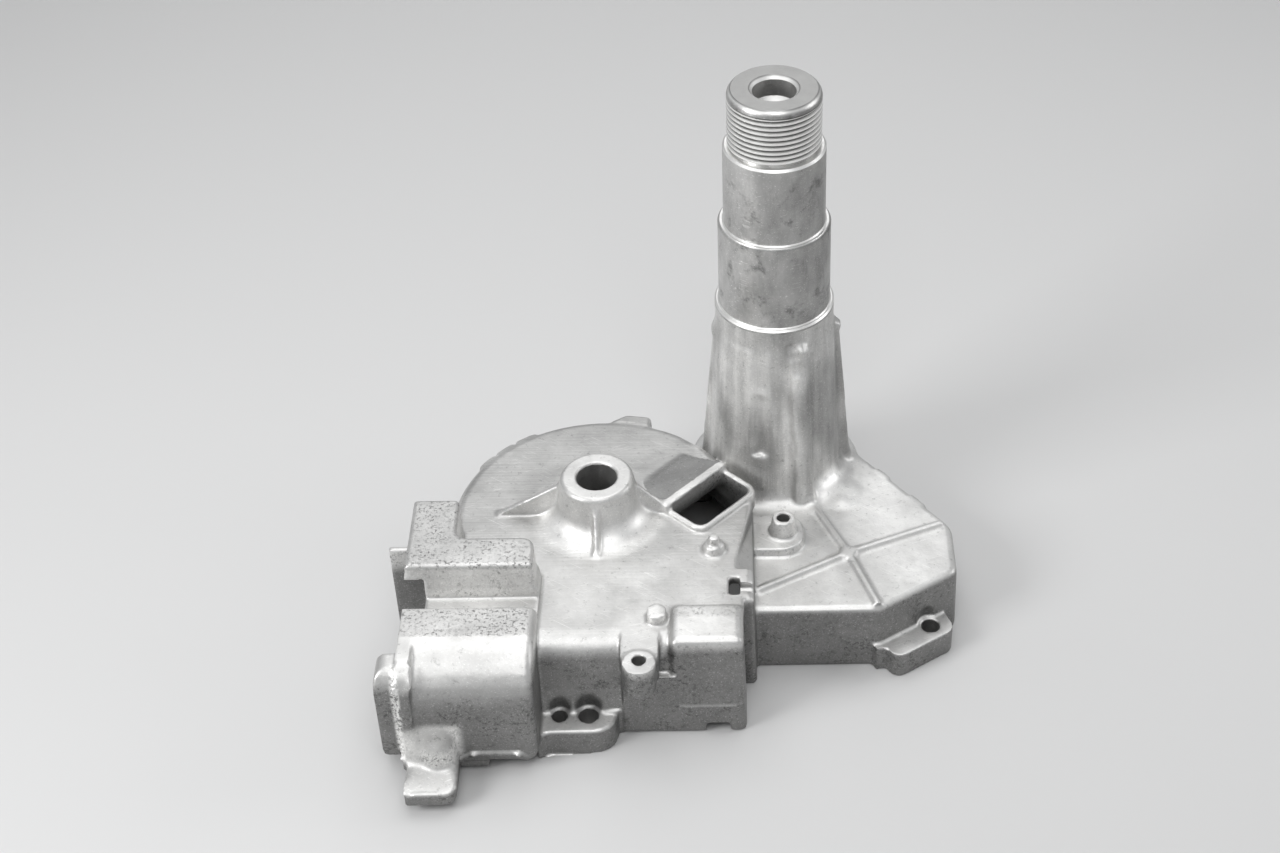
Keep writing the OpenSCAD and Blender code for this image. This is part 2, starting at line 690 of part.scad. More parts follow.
module window_frame() {
    half_l = window_len / 2 + window_rim_w;
    half_w = window_w / 2 + window_rim_w;
    frame = [[-half_l, -half_w, 4], [half_l, -half_w, 4], [half_l, half_w, 1], [-half_l, half_w, 1]];
    translate([window_x, window_y, 0]) rotate([0, 0, window_turn]) {
        skin([ring(frame, 0, corner_n), ring(frame, 0.5, corner_n)], [case_h - 4, case_h + window_rim_h]);
        intersection() {
            translate([-half_l, window_w / 2, 0]) rotate([90, 0, 90]) linear_extrude(2 * half_l)
                polygon([[0, case_h - 4], [0, case_h + hood_h], [window_rim_w, case_h + hood_h],
                    [hood_len, case_h], [hood_len, case_h - 4]]);
            translate([0, 0, case_h - 5]) linear_extrude(10 + hood_h) polygon([
                [-half_l, half_w - window_rim_w], [half_l, half_w - window_rim_w],
                [half_l - 3.6, half_w + hood_len], [-half_l + 3.8, half_w + hood_len]]);
        }
    }
}

// Everything cut away: cavities open at the rim, bores and holes
module inside() {
    difference() {
        translate([gear_x, gear_y, -OVER]) drum(gear_r - gear_wall, case_h - deck_t + OVER, 2);
        translate([gear_x, gear_y, case_h - deck_t - shaft_hub_len])
            cylinder(d = shaft_hub_d, h = case_h, $fn = 72);
    }
    difference() {
        union() {
            cast_block(link_outline(), -OVER, link_h - deck_t, wall);
            translate([0, 0, -OVER]) cylinder(r = lobe_r - wall, h = link_h - deck_t + OVER, $fn = 96);
            cast_block(bridge_outline(), -OVER, case_h - deck_t, wall);
        }
        translate([0, 0, hub_z]) cylinder(d = hub_d, h = link_h, $fn = 72);
        translate([tunnel_left_x - wall, tunnel_front_y, -2 * OVER])
            cube([link_right_x - tunnel_left_x, link_front_y - tunnel_front_y + wall, case_h + 4 * OVER]);
    }
    worm_space();
    motor_space();
    bores();
    window_cut();
    slots();
}

module worm_space() {
    translate([tunnel_left_x - 6, worm_y, worm_z]) rotate([0, 90, 0])
        cylinder(d = worm_d, h = box_right_x - 4 - tunnel_left_x + 6);
    pocket = [[tunnel_left_x + 3, tunnel_front_y + wall, 2], [box_left_x - 8, tunnel_front_y + wall, 2],
        [box_left_x - 8, link_front_y - 4, 2], [tunnel_left_x + 3, link_front_y - 4, 2]];
    cast_block(pocket, -OVER, worm_z - worm_d / 2 - wall, 0);
    end_pocket = [[box_left_x + 2.5, box_front_y + wall, 2], [box_right_x - wall, box_front_y + wall, 2],
        [box_right_x - wall, link_front_y - 2, 2], [box_left_x + 2.5, link_front_y - 2, 2]];
    cast_block(end_pocket, -OVER, box_h - deck_t, 0);
}

// The motor's seat, the brush space beyond it, and the pocket under the block
module motor_space() {
    seat = [[bell_front_y + wall + 1, bell_z + wall - 1, 4], [motor_back_y - wall - 1, bell_z + wall - 1, 4],
        [motor_back_y - wall - 1, slot_z - wall, 1], [bell_front_y + wall + 1, slot_z - wall, 10]];
    brush = [[bell_front_y + wall + 1, bell_z + wall, 5], [block_front_y - wall, bell_z + wall, 3],
        [block_front_y - wall, slot_z - wall, 3], [bell_front_y + wall + 1, slot_z - wall, 10]];
    along_x(flange_x - spigot_len - OVER, flange_x + motor_depth, ring(seat, 0, 8));
    along_x(flange_x + motor_depth - OVER, tunnel_left_x - wall, ring(brush, 0, 6));
    arm_x = flange_x + block_arm_w - wall;
    arm_len = motor_back_y - 2 * wall - block_front_y - 1;
    high = block_h - deck_t - worm_z;
    translate([flange_x - spigot_len - OVER, block_front_y + wall, worm_z])
        cube([arm_x - flange_x + spigot_len + OVER, arm_len, high]);
    translate([arm_x - OVER, block_front_y + wall, worm_z])
        cube([motor_depth - block_arm_w + wall + OVER, block_mid_y - block_front_y - 2 * wall, high]);
}

module bores() {
    seat_z = tube_h - seat_depth;
    spindle_z = seat_z - spindle_len;
    core_z = hub_z + lower_seat_len;
    translate([0, 0, seat_z]) cylinder(d = seat_d, h = seat_depth + OVER);
    translate([0, 0, tube_h - 1]) cylinder(d1 = seat_d, d2 = seat_d + 3 + OVER, h = 1.5 + OVER / 2);
    translate([0, 0, spindle_z - OVER]) cylinder(d = spindle_d, h = spindle_len + 2 * OVER);
    translate([0, 0, core_z - OVER]) cylinder(d = core_d, h = spindle_z - core_z + OVER);
    translate([0, 0, hub_z - OVER]) cylinder(d = lower_seat_d, h = lower_seat_len + OVER);
    translate([gear_x, gear_y, case_h - deck_t - shaft_hub_len - OVER])
        cylinder(d = shaft_d, h = shaft_hub_len + deck_t + boss_h + 2 * OVER);
    translate([ear_x, ear_y, -OVER]) cylinder(d = ear_hole_a_d, h = ear_h + 2 * OVER, $fn = 48);
    translate([ear_x + ear_hole_gap, ear_y, -OVER]) cylinder(d = ear_hole_b_d, h = ear_h + 2 * OVER, $fn = 48);
    for (k = [0, 1]) translate([ear_x + k * ear_hole_gap, ear_y, ear_h]) screw_relief(k == 0 ? 3.2 : 3.8);
    on_slant() translate([ear_hole_c_at, -2.3, 0]) {
        translate([0, 0, -OVER]) cylinder(d = ear_hole_c_d, h = ear_h + 2 * OVER, $fn = 48);
        translate([0, 0, ear_h]) screw_relief(4);
    }
    translate([post_x, post_y + 0.9, case_h + post_rise - post_hole_len])
        cylinder(d = post_hole_d, h = post_hole_len + OVER, $fn = 48);
    translate([small_post_x, small_post_y, link_h + 1])
        cylinder(d = small_post_hole_d, h = small_post_z - link_h, $fn = 48);
}

// Room for a screw's head in the wall above its ear
module screw_relief(r) {
    cylinder(r = r, h = 3, $fn = 48);
    translate([0, 0, 3]) cylinder(r1 = r, r2 = 0.6, h = 6, $fn = 48);
}

module window_cut() {
    half_l = window_len / 2;
    half_w = window_w / 2;
    opening = [[-half_l, -half_w, 2.6], [half_l, -half_w, 2.6], [half_l, half_w, 0.8], [-half_l, half_w, 0.8]];
    translate([window_x, window_y, case_h - 14]) rotate([0, 0, window_turn])
        linear_extrude(20) polygon(ring(opening, 0, corner_n));
}

module slots() {
    slot_w = block_front_y - slot_front_y;
    mouth_w = slot_left_x - flange_x + OVER;
    translate([flange_x - OVER, slot_front_y, slot_z])
        cube([tunnel_left_x - flange_x + 1 + OVER, slot_w, block_h]);
    translate([flange_x - OVER, slot_front_y, worm_z]) {
        cube([mouth_w, slot_w + wall + OVER, block_h - 5 - worm_z]);
        cube([mouth_w, slot_w, block_h]);
    }
    translate([0, 0, case_h - 12]) linear_extrude(14) polygon(ring(clip_slot, 0, corner_n));
    translate([clip_x - 1, clip_y - 5.3, case_h - 2.5]) cube([8, 3.2, 5]);
    front = box_front_y - skirt_t;
    along_x(post_x - post_d / 2 - 0.6, box_right_x + OVER,
        [[front - OVER, -OVER], [front + foot_bevel + OVER, -OVER], [front - OVER, foot_bevel + OVER]]);
    translate([notch_x, front - OVER, -OVER]) cube([notch_w, wall + skirt_t + 2 * OVER, notch_h + OVER]);
    skin([ring(bevel_low, 0, 1), ring(bevel_high, 0, 1)], [case_h - 6, case_h + 0.6]);
    tube_groove();
}

module housing() {
    color(CAST) difference() {
        outside();
        inside();
    }
}

housing();
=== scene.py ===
"""Finishes a bare die-cast gear housing: softens the casting, machines it, threads its neck and lights it."""

from __future__ import annotations

import json
import logging
import math
from dataclasses import dataclass, field
from enum import Enum

import bmesh
import bpy
import numpy as np
from mathutils import Matrix, Vector

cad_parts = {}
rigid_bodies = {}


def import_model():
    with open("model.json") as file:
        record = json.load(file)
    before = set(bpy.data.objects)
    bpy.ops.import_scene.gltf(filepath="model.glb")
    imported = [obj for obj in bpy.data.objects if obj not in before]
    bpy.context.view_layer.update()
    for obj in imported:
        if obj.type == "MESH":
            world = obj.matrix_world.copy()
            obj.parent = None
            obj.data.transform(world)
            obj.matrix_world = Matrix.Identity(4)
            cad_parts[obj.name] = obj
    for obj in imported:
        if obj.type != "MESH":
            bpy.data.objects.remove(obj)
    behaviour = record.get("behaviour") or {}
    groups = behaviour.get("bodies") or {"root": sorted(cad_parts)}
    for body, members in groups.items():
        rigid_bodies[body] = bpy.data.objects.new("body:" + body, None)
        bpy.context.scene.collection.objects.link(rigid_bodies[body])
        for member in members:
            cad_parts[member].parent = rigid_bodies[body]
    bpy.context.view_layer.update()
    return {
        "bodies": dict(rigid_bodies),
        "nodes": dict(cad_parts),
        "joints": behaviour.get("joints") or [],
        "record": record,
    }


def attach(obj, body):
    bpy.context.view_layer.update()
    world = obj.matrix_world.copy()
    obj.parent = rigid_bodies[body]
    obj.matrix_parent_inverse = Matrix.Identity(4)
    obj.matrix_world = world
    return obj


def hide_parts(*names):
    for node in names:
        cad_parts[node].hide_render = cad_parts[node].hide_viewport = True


MM = 0.001
LOG = logging.getLogger("housing")
Spot = tuple[float, float, float]
Socket = bpy.types.NodeSocket


# Sizes shared with the part's source
@dataclass(frozen=True)
class Sizes:
    """The driving sizes that the machining follows, in millimetres."""

    tube_h: float = 152.4
    thread_d: float = 26.0
    thread_pitch: float = 1.5
    thread_len: float = 17.3
    collar_1_d: float = 28.7
    collar_1_len: float = 24.5
    collar_2_d: float = 32.0
    collar_2_len: float = 27.0
    collar_3_d: float = 34.3
    seat_d: float = 12.0
    seat_depth: float = 7.0
    spindle_d: float = 9.0
    spindle_len: float = 16.0
    core_d: float = 15.0
    lower_seat_d: float = 18.0
    lower_seat_len: float = 30.0
    hub_z: float = 9.0
    gear_x: float = -51.5
    gear_y: float = -35.6
    case_h: float = 33.0
    block_h: float = 46.0
    deck_t: float = 3.0
    boss_h: float = 14.0
    shaft_d: float = 11.6
    shaft_hub_len: float = 8.0
    ear_h: float = 8.5
    ear_x: float = -61.4
    ear_y: float = -92.0
    ear_gap: float = 8.0
    ear_hole_a_d: float = 4.3
    ear_hole_b_d: float = 5.4
    ear_hole_c_d: float = 5.2
    ear_hole_c: tuple[float, float] = (43.77, -59.28)
    post_xy: tuple[float, float] = (-38.5, -95.3)
    post_top: float = 33.5
    post_hole_d: float = 3.8
    post_hole_len: float = 8.0
    small_post_xy: tuple[float, float] = (1.8, -35.6)
    small_post_top: float = 30.0
    small_post_hole_len: float = 7.0

    @property
    def ledge_1(self) -> float:
        """Height of the ledge under the thread."""
        return self.tube_h - self.thread_len

    @property
    def ledge_2(self) -> float:
        """Height of the ledge under the top collar."""
        return self.ledge_1 - self.collar_1_len

    @property
    def ledge_3(self) -> float:
        """Height of the ledge under the middle collar."""
        return self.ledge_2 - self.collar_2_len


SIZES = Sizes()


class Axis(Enum):
    """The coordinate that a mask or a streak follows."""

    X = 0
    Y = 1
    Z = 2


# Small mesh helpers
def link(name: str, data: bpy.types.ID) -> bpy.types.Object:
    """Puts a mesh, a lamp or a camera into the scene as an object at the origin."""
    obj = bpy.data.objects.new(name, data)
    bpy.context.scene.collection.objects.link(obj)
    return obj


def to_object(name: str, bm: bmesh.types.BMesh) -> bpy.types.Object:
    """Turns a bmesh in millimetres into an object in metres.

    Args:
        name: The object's name.
        bm: The bmesh, which is freed.

    Returns:
        The new object.
    """
    bmesh.ops.recalc_face_normals(bm, faces=bm.faces)
    bmesh.ops.scale(bm, vec=(MM, MM, MM), verts=bm.verts)
    mesh = bpy.data.meshes.new(name)
    bm.to_mesh(mesh)
    bm.free()
    return link(name, mesh)


def settle(obj: bpy.types.Object) -> None:
    """Bakes an object's modifiers into its mesh."""
    bpy.context.view_layer.update()
    graph = bpy.context.evaluated_depsgraph_get()
    baked = bpy.data.meshes.new_from_object(obj.evaluated_get(graph))
    old = obj.data
    obj.modifiers.clear()
    obj.data = baked
    bpy.data.meshes.remove(old)


def discard(obj: bpy.types.Object) -> None:
    """Removes a helper object and its mesh."""
    mesh = obj.data
    bpy.data.objects.remove(obj)
    bpy.data.meshes.remove(mesh)


def triangles(obj: bpy.types.Object) -> int:
    """Counts an object's triangles."""
    return sum(len(p.vertices) - 2 for p in obj.data.polygons)


class Cut(Enum):
    """How one solid changes another."""

    AWAY = "DIFFERENCE"
    JOIN = "UNION"
    KEEP = "INTERSECT"


def combine(target: bpy.types.Object, tool: bpy.types.Object, how: Cut) -> None:
    """Changes a solid by another one, which is then removed.

    Args:
        target: The solid that changes.
        tool: The solid that cuts it or joins it.
        how: The kind of change.
    """
    change = target.modifiers.new("change", "BOOLEAN")
    change.operation = how.value
    change.object = tool
    change.solver = "MANIFOLD"
    change.material_mode = "TRANSFER"
    settle(target)
    discard(tool)


# Turned shapes
@dataclass
class Lathe:
    """Turns outlines about an upright axis.

    Attributes:
        x: The axis, in millimetres right of the spindle.
        y: The axis, in millimetres behind the spindle.
        steps: The number of facets round the axis.
    """

    x: float = 0.0
    y: float = 0.0
    steps: int = 96

    def turn(self, bm: bmesh.types.BMesh, outline: list[tuple[float, float]]) -> None:
        """Adds a turned solid.

        Args:
            bm: The bmesh that it is added to.
            outline: Points of radius and height, from the axis and back to it.
        """
        verts = [bm.verts.new((self.x + r, self.y, z)) for r, z in outline]
        edges = [bm.edges.new(pair) for pair in zip(verts, verts[1:])]
        bmesh.ops.spin(
            bm, geom=verts + edges, cent=(self.x, self.y, 0), axis=(0, 0, 1),
            angle=math.tau, steps=self.steps, use_merge=True,
        )
        bmesh.ops.remove_doubles(bm, verts=bm.verts, dist=0.0005)

    def drill(self, bm: bmesh.types.BMesh, diameter: float, z0: float, z1: float) -> None:
        """Adds a plain cylinder for a hole.

        Args:
            bm: The bmesh that it is added to.
            diameter: The hole's diameter.
            z0: Its lower end.
            z1: Its upper end.
        """
        r = diameter / 2
        self.turn(bm, [(0, z0), (r, z0), (r, z1), (0, z1)])


# Node materials
def put(tree: bpy.types.NodeTree, socket: Socket, value: object) -> None:
    """Sets a socket from another socket or from a plain value."""
    if isinstance(value, Socket):
        tree.links.new(value, socket)
    else:
        socket.default_value = value


def add(
    tree: bpy.types.NodeTree, kind: str, inputs: dict[int | str, object], result: int | str = 0,
    **settings: object,
) -> Socket:
    """Adds a node to a tree.

    Args:
        tree: The node tree.
        kind: The node's type, without the word that all of them start with.
        inputs: Values or sockets for its inputs, by place or name.
        result: The output that is wanted.
        settings: Its other settings.

    Returns:
        That output.
    """
    node = tree.nodes.new("ShaderNode" + kind)
    for name, value in settings.items():
        setattr(node, name, value)
    for name, value in inputs.items():
        put(tree, node.inputs[name], value)
    return node.outputs[result]


@dataclass
class Board:
    """A material's nodes, with short calls for those used here.

    Attributes:
        name: The material's name.
        material: The material, which the board makes.
    """

    name: str
    material: bpy.types.Material = field(init=False)

    def __post_init__(self) -> None:
        """Makes the material with its plain shader."""
        self.material = bpy.data.materials.new(self.name)
        self.material.use_nodes = True
        self.tree = self.material.node_tree
        self.shader = self.tree.nodes["Principled BSDF"]
        self.place = self.tree.nodes.new("ShaderNodeTexCoord")

    def shade(self, name: str, value: object) -> None:
        """Sets one of the shader's inputs."""
        put(self.tree, self.shader.inputs[name], value)

    def math(self, kind: str, *values: object, clamp: bool = False) -> Socket:
        """Calculates with values or sockets; a clamped result stays from 0 to 1."""
        return add(self.tree, "Math", dict(enumerate(values)), operation=kind, use_clamp=clamp)

    def times(self, *values: object) -> Socket:
        """Multiplies values or sockets."""
        product = values[0]
        for value in values[1:]:
            product = self.math("MULTIPLY", product, value)
        return product

    def plus(self, a: object, b: object, clamp: bool = False) -> Socket:
        """Adds two values or sockets."""
        return self.math("ADD", a, b, clamp=clamp)

    def share(self, base: float, pattern: Socket, gain: float) -> Socket:
        """Gives a base value plus a share of a pattern."""
        return self.plus(base, self.times(pattern, gain))

    def less(self, pattern: Socket, gain: float) -> Socket:
        """Gives one less a share of a pattern."""
        return self.math("SUBTRACT", 1.0, self.times(pattern, gain))

    def ramp(
        self, value: object, low: float, high: float, to_low: float = 0.0, to_high: float = 1.0,
    ) -> Socket:
        """Maps a value smoothly from one range to another, and holds it at the ends."""
        limits = {"Value": value, "From Min": low, "From Max": high, "To Min": to_low, "To Max": to_high}
        return add(self.tree, "MapRange", limits, "Result", interpolation_type="SMOOTHSTEP")

    def spot(self, scale: Spot = (1, 1, 1), turn_z: float = 0.0) -> Socket:
        """Gives object coordinates, in millimetres, turned by some degrees and then stretched."""
        turned = add(self.tree, "Mapping", {
            "Vector": self.place.outputs["Object"],
            "Rotation": (0, 0, math.radians(turn_z)),
            "Scale": (1 / MM, 1 / MM, 1 / MM),
        }, "Vector", vector_type="POINT")
        return add(self.tree, "VectorMath", {0: turned, 1: scale}, "Vector", operation="MULTIPLY")

    def part(self, axis: Axis) -> Socket:
        """Gives one object coordinate, in millimetres."""
        return add(self.tree, "SeparateXYZ", {0: self.spot()}, axis.value)

    def facing(self, axis: Axis) -> Socket:
        """Gives one part of the surface's direction."""
        return add(self.tree, "SeparateXYZ", {0: self.place.outputs["Normal"]}, axis.value)

    def radius(self, x: float = 0.0, y: float = 0.0) -> Socket:
        """Gives the distance from the upright axis at x and y, in millimetres."""
        across = self.math("POWER", self.math("SUBTRACT", self.part(Axis.X), x), 2.0)
        along = self.math("POWER", self.math("SUBTRACT", self.part(Axis.Y), y), 2.0)
        return self.math("SQRT", self.plus(across, along))

    def noise(self, where: Socket, scale: float, detail: float, rough: float) -> Socket:
        """Adds a noise: its cells per millimetre, and the number and the weight of its finer layers."""
        shape = {"Vector": where, "Scale": scale, "Detail": detail, "Roughness": rough}
        return add(self.tree, "TexNoise", shape, "Fac")

    def band(self, value: Socket, low: float, high: float, soft: float) -> Socket:
        """Masks the stretch of a value between two limits, with soft ends."""
        rise = self.ramp(value, low - soft, low + soft)
        fall = self.ramp(value, high - soft, high + soft, 1.0, 0.0)
        return self.times(rise, fall)

    def mix(self, mask: object, a: object, b: object) -> Socket:
        """Mixes two values or sockets by a mask."""
        return add(self.tree, "Mix", {0: mask, 2: a, 3: b}, data_type="FLOAT")

    def colour(self, tone: Socket) -> None:
        """Gives the shader a grey, slightly warm as bare aluminium is."""
        ends = {6: (0, 0, 0, 1), 7: (1.0, 0.995, 0.98, 1)}
        self.shade("Base Color", add(self.tree, "Mix", {0: tone, **ends}, 2, data_type="RGBA"))

    def bump(self, height: Socket, depth: float, below: Socket | None = None) -> Socket:
        """Adds relief of a depth in millimetres, over an earlier relief if there is one."""
        relief = {"Strength": 1.0, "Distance": depth * MM, "Height": height}
        if below is not None:
            relief["Normal"] = below
        return add(self.tree, "Bump", relief, "Normal")


@dataclass(frozen=True)
class Patch:
    """A box on the casting that its finish treats apart.

    Attributes:
        low: Its lowest corner, in millimetres.
        high: Its highest corner.
        soft: Half the width of its soft border.
    """

    low: Spot
    high: Spot
    soft: float

    def mask(self, b: Board) -> Socket:
        """Masks the box in a material."""
        low, high = self.low, self.high
        return b.times(*(b.band(b.part(axis), low[axis.value], high[axis.value], self.soft) for axis in Axis))


# Boxes for the finish; among them are boxes for the painted light on walls round the link case, the painted
# highlights at the tube's root and on the rib's left flank, and the painted shade on the rib's right edge.
ABOVE_LINK_CASE = Patch((-6.5, -60, 22.3), (70, 30, 36), 0.6)
FOOT = Patch((-103.5, -119, 7.5), (-87, -103, 19), 1.5)
FLANGE_EDGE = Patch((-104.6, -110, 8), (-101.8, -97, 36.6), 0.5)
TUBE_ROOT_HIGHLIGHT = Patch((13, -24, 22.2), (25, -9, 27), 2.0)
RIB_FLANK_HIGHLIGHT = Patch((3.4, -24, 34), (6.2, -14, 70), 3.0)
RIB_EDGE_SHADE = Patch((9.0, -24, 25), (11.2, -12, 74), 0.6)
BLOCK_TOP = Patch((-104.5, -72.0, 44.6), (-64, -42, 47.5), 0.5)
BELL_BAND = Patch((-104.5, -89.6, 36.8), (-68, -79.0, 39.5), 0.7)
END_BOX_EDGE = Patch((-33, -80.5, 33.6), (-8, -74, 36.5), 0.8)
HOOD = Patch((-42, -38, 33.3), (-8, -6, 37.5), 0.4)
AROUND_BOSS = Patch((-84, -68, 33.8), (-20, -6, 60), 1.0)


def scratches(b: Board) -> Socket:
    """Masks sparse light scratches in two directions."""
    marks = []
    for turn, low in ((34.0, 0.700), (-21.0, 0.715)):
        line = b.noise(b.spot((0.10, 5.0, 5.0), turn), 1.0, 1, 0.4)
        marks.append(b.ramp(line, low, low + 0.02))
    return b.plus(*marks, clamp=True)


@dataclass(frozen=True)
class CastFinish:
    """The casting's skin: brushed decks, speckled raised faces, streaked tube and sandy walls, with painted
    light and shade by each face's direction and height, painted highlights and shade on some fillets and on
    the rib, and painted side light on the tube.

    Attributes:
        plain: Grey of the sloping cast skin.
        deck: Grey of the level faces, painted light as if lit from above.
        near_deck: Grey of the gear case's deck in front.
        far_deck: Grey of its brushed far part.
        shaded_low_wall: Grey of the outer walls, painted dark as shade.
        lit_high_wall: Grey of the upright faces above the decks, painted light.
        tube: Grey of the spindle tube, painted lighter on its left and darker on its right as side light.
        ground: Grey of the raised faces between their specks.
        speck: Grey of the specks.
        boss_fillet_highlight: Grey of the painted highlight on the fillet round the shaft boss.
        root_fillet_highlight: Grey of the painted highlight on the swell at the tube's root.
        flash: Grey of the torn flash on the flange.
        rib_flank_highlight: Grey of the painted highlight on the front rib's left flank.
        rib_edge_shade: Grey of the painted shade on its right edge.
        foot_share: How much of its grey the foot keeps.
        hood_share: How much of its grey the slope behind the window keeps.
        metal: The metallic share, below one for its oxide.
    """

    plain: float = 0.53
    deck: float = 0.68
    near_deck: float = 0.56
    far_deck: float = 0.44
    shaded_low_wall: float = 0.25
    lit_high_wall: float = 0.74
    tube: float = 0.58
    ground: float = 0.56
    speck: float = 0.20
    boss_fillet_highlight: float = 0.76
    root_fillet_highlight: float = 0.88
    flash: float = 0.92
    rib_flank_highlight: float = 0.78
    rib_edge_shade: float = 0.30
    foot_share: float = 0.78
    hood_share: float = 0.46
    metal: float = 0.88

    def material(self) -> bpy.types.Material:
        """Builds the node material.

        Returns:
            The casting's material.
        """
        b = Board("cast_aluminium")
        up = b.ramp(b.facing(Axis.Z), 0.70, 0.98)
        wall = b.ramp(b.facing(Axis.Z), 0.10, 0.72, 1.0, 0.0)
        foot = FOOT.mask(b)
        tube = self.tube_mask(b)
        gear_deck = b.times(up, b.band(b.part(Axis.Z), SIZES.case_h - 0.6, SIZES.case_h + 0.6, 0.3))
        mottle = b.noise(b.spot(), 0.10, 4, 0.55)
        grain = b.noise(b.spot(), 1.5, 4, 0.65)
        streak = b.noise(b.spot((0.03, 2.4, 1.0)), 1.0, 4, 0.65)
        flow = b.noise(b.spot((1.0, 1.0, 0.07)), 0.30, 3, 0.6)
        raised = self.raised(b)
        specks = self.specks(b, raised)

        tone = self.faces(b, up, wall, foot, gear_deck)
        tone = self.accents(b, tone, tube, raised)
        tone = b.times(tone, b.share(0.74, mottle, 0.52))
        cloud = b.ramp(b.noise(b.spot(), 0.055, 3, 0.6), 0.36, 0.62)
        tone = b.times(tone, b.mix(b.times(up, 0.16), 1.0, cloud))
        milky = b.ramp(b.noise(b.spot((1.0, 1.0, 0.5)), 0.06, 3, 0.5), 0.38, 0.62, 0.74, 1.18)
        tone = b.times(tone, b.mix(tube, 1.0, b.times(milky, b.share(0.62, flow, 0.80))))
        brushed = b.times(gear_deck, b.ramp(b.part(Axis.Y), -72, -40, 0.35, 1.0))
        tone = b.times(tone, b.mix(brushed, 1.0, b.share(0.62, streak, 0.70)))
        tone = b.times(tone, b.share(0.90, grain, 0.20))
        tone = b.mix(b.times(specks, 0.90), tone, self.speck)
        salt = b.times(b.ramp(b.noise(b.spot(), 1.9, 3, 0.7), 0.56, 0.68), b.times(wall, 0.16))
        tone = b.plus(tone, salt)
        tone = b.mix(b.times(self.pits(b, wall, tube), 0.85), tone, b.times(tone, 0.40))
        b.colour(b.plus(tone, b.times(scratches(b), 0.16)))
        b.shade("Metallic", self.metal)

        rough = b.share(0.34, mottle, 0.18)
        rough = b.mix(b.times(wall, 0.8), rough, b.share(0.44, grain, 0.16))
        rough = b.mix(b.times(foot, b.ramp(b.part(Axis.Z), 9.2, 11.0)), rough, 0.85)
        b.shade("Roughness", b.mix(specks, rough, 0.66))

        relief = b.bump(b.times(grain, b.share(0.22, wall, 0.78)), 0.06)
        relief = b.bump(b.times(streak, b.share(0.05, gear_deck, 0.8)), 0.035, relief)
        relief = b.bump(b.times(flow, tube), 0.35, relief)
        relief = b.bump(b.noise(b.spot(), 0.16, 3, 0.5), 0.22, relief)
        relief = b.bump(b.times(specks, -1.0), 0.06, relief)
        b.shade("Normal", b.bump(b.noise(b.spot(), 5.0, 2, 0.6), 0.010, relief))
        return b.material

    def faces(self, b: Board, up: Socket, wall: Socket, foot: Socket, gear_deck: Socket) -> Socket:
        """Gives each face its grey by its direction and its height: painted light on the level faces and on
        the upright faces above the decks, painted shade on the outer walls below them.

        Args:
            b: The material's board.
            up: Mask of the level faces.
            wall: Mask of the upright faces.
            foot: Mask of the foot.
            gear_deck: Mask of the gear case's deck.

        Returns:
            The grey.
        """
        above = b.math("MAXIMUM", b.ramp(b.part(Axis.Z), 30, 35), ABOVE_LINK_CASE.mask(b))
        # Painted shade on the low outer walls; painted light on the walls above the decks, round the link
        # case and on the foot.
        upright = b.mix(b.math("MAXIMUM", above, foot), self.shaded_low_wall, self.lit_high_wall)
        deck = b.ramp(b.part(Axis.Y), -62, -25, self.near_deck, self.far_deck)
        # Painted light on the level faces; the gear deck's grey grows darker towards the back.
        tone = b.mix(up, b.mix(wall, self.plain, upright), b.mix(gear_deck, self.deck, deck))
        return b.times(tone, b.mix(b.times(foot, up), 1.0, self.foot_share))

    def accents(self, b: Board, tone: Socket, tube: Socket, raised: Socket) -> Socket:
        """Picks out the tube with its painted side light, the painted highlights on the fillets and the rib's
        left flank, the bright flash, the painted shade on the rib's right edge, and the dark faces.

        Args:
            b: The material's board.
            tone: The grey so far.
            tube: Mask of the tube's cast part.
            raised: Mask of the speckled faces.

        Returns:
            The grey with its accents.
        """
        # Painted side light: the tube is lighter on its left and darker on its right.
        tone = b.mix(tube, tone, b.ramp(b.part(Axis.X), -12, 14, self.tube * 1.14, self.tube * 0.80))
        # Painted highlight on the fillet round the shaft boss.
        tone = b.mix(self.fillet_highlight_ring(b), tone, self.boss_fillet_highlight)
        tone = b.mix(self.rough_edge(b), tone, self.flash)
        # Painted highlight on the swell at the tube's root.
        tone = b.mix(TUBE_ROOT_HIGHLIGHT.mask(b), tone, self.root_fillet_highlight)
        # Painted highlight on the front rib's left flank.
        tone = b.mix(RIB_FLANK_HIGHLIGHT.mask(b), tone, self.rib_flank_highlight)
        # Painted shade on the front rib's right edge.
        tone = b.mix(b.times(RIB_EDGE_SHADE.mask(b), 0.55), tone, self.rib_edge_shade)
        tone = b.mix(raised, tone, self.ground)
        return b.times(tone, b.mix(self.hood(b), 1.0, self.hood_share))

    @staticmethod
    def raised(b: Board) -> Socket:
        """Masks the dark speckled faces: the block's top, the bell's band and the end box's rear edge."""
        tops = b.plus(BLOCK_TOP.mask(b), BELL_BAND.mask(b))
        return b.plus(tops, b.times(END_BOX_EDGE.mask(b), 0.6), clamp=True)

    @staticmethod
    def hood(b: Board) -> Socket:
        """Masks the brushed slope behind the window."""
        turn = math.radians(47)
        side = b.times(b.facing(Axis.X), -math.sin(turn))
        away = b.plus(side, b.times(b.facing(Axis.Y), math.cos(turn)))
        level = b.ramp(b.facing(Axis.Z), 0.85, 0.93)
        return b.times(b.ramp(away, 0.10, 0.19), level, HOOD.mask(b))

    @staticmethod
    def tube_mask(b: Board) -> Socket:
        """Masks the cast part of the spindle tube."""
        return b.times(b.ramp(b.radius(), 26.5, 23.5, 0, 1), b.ramp(b.part(Axis.Z), 22.6, 25.5))

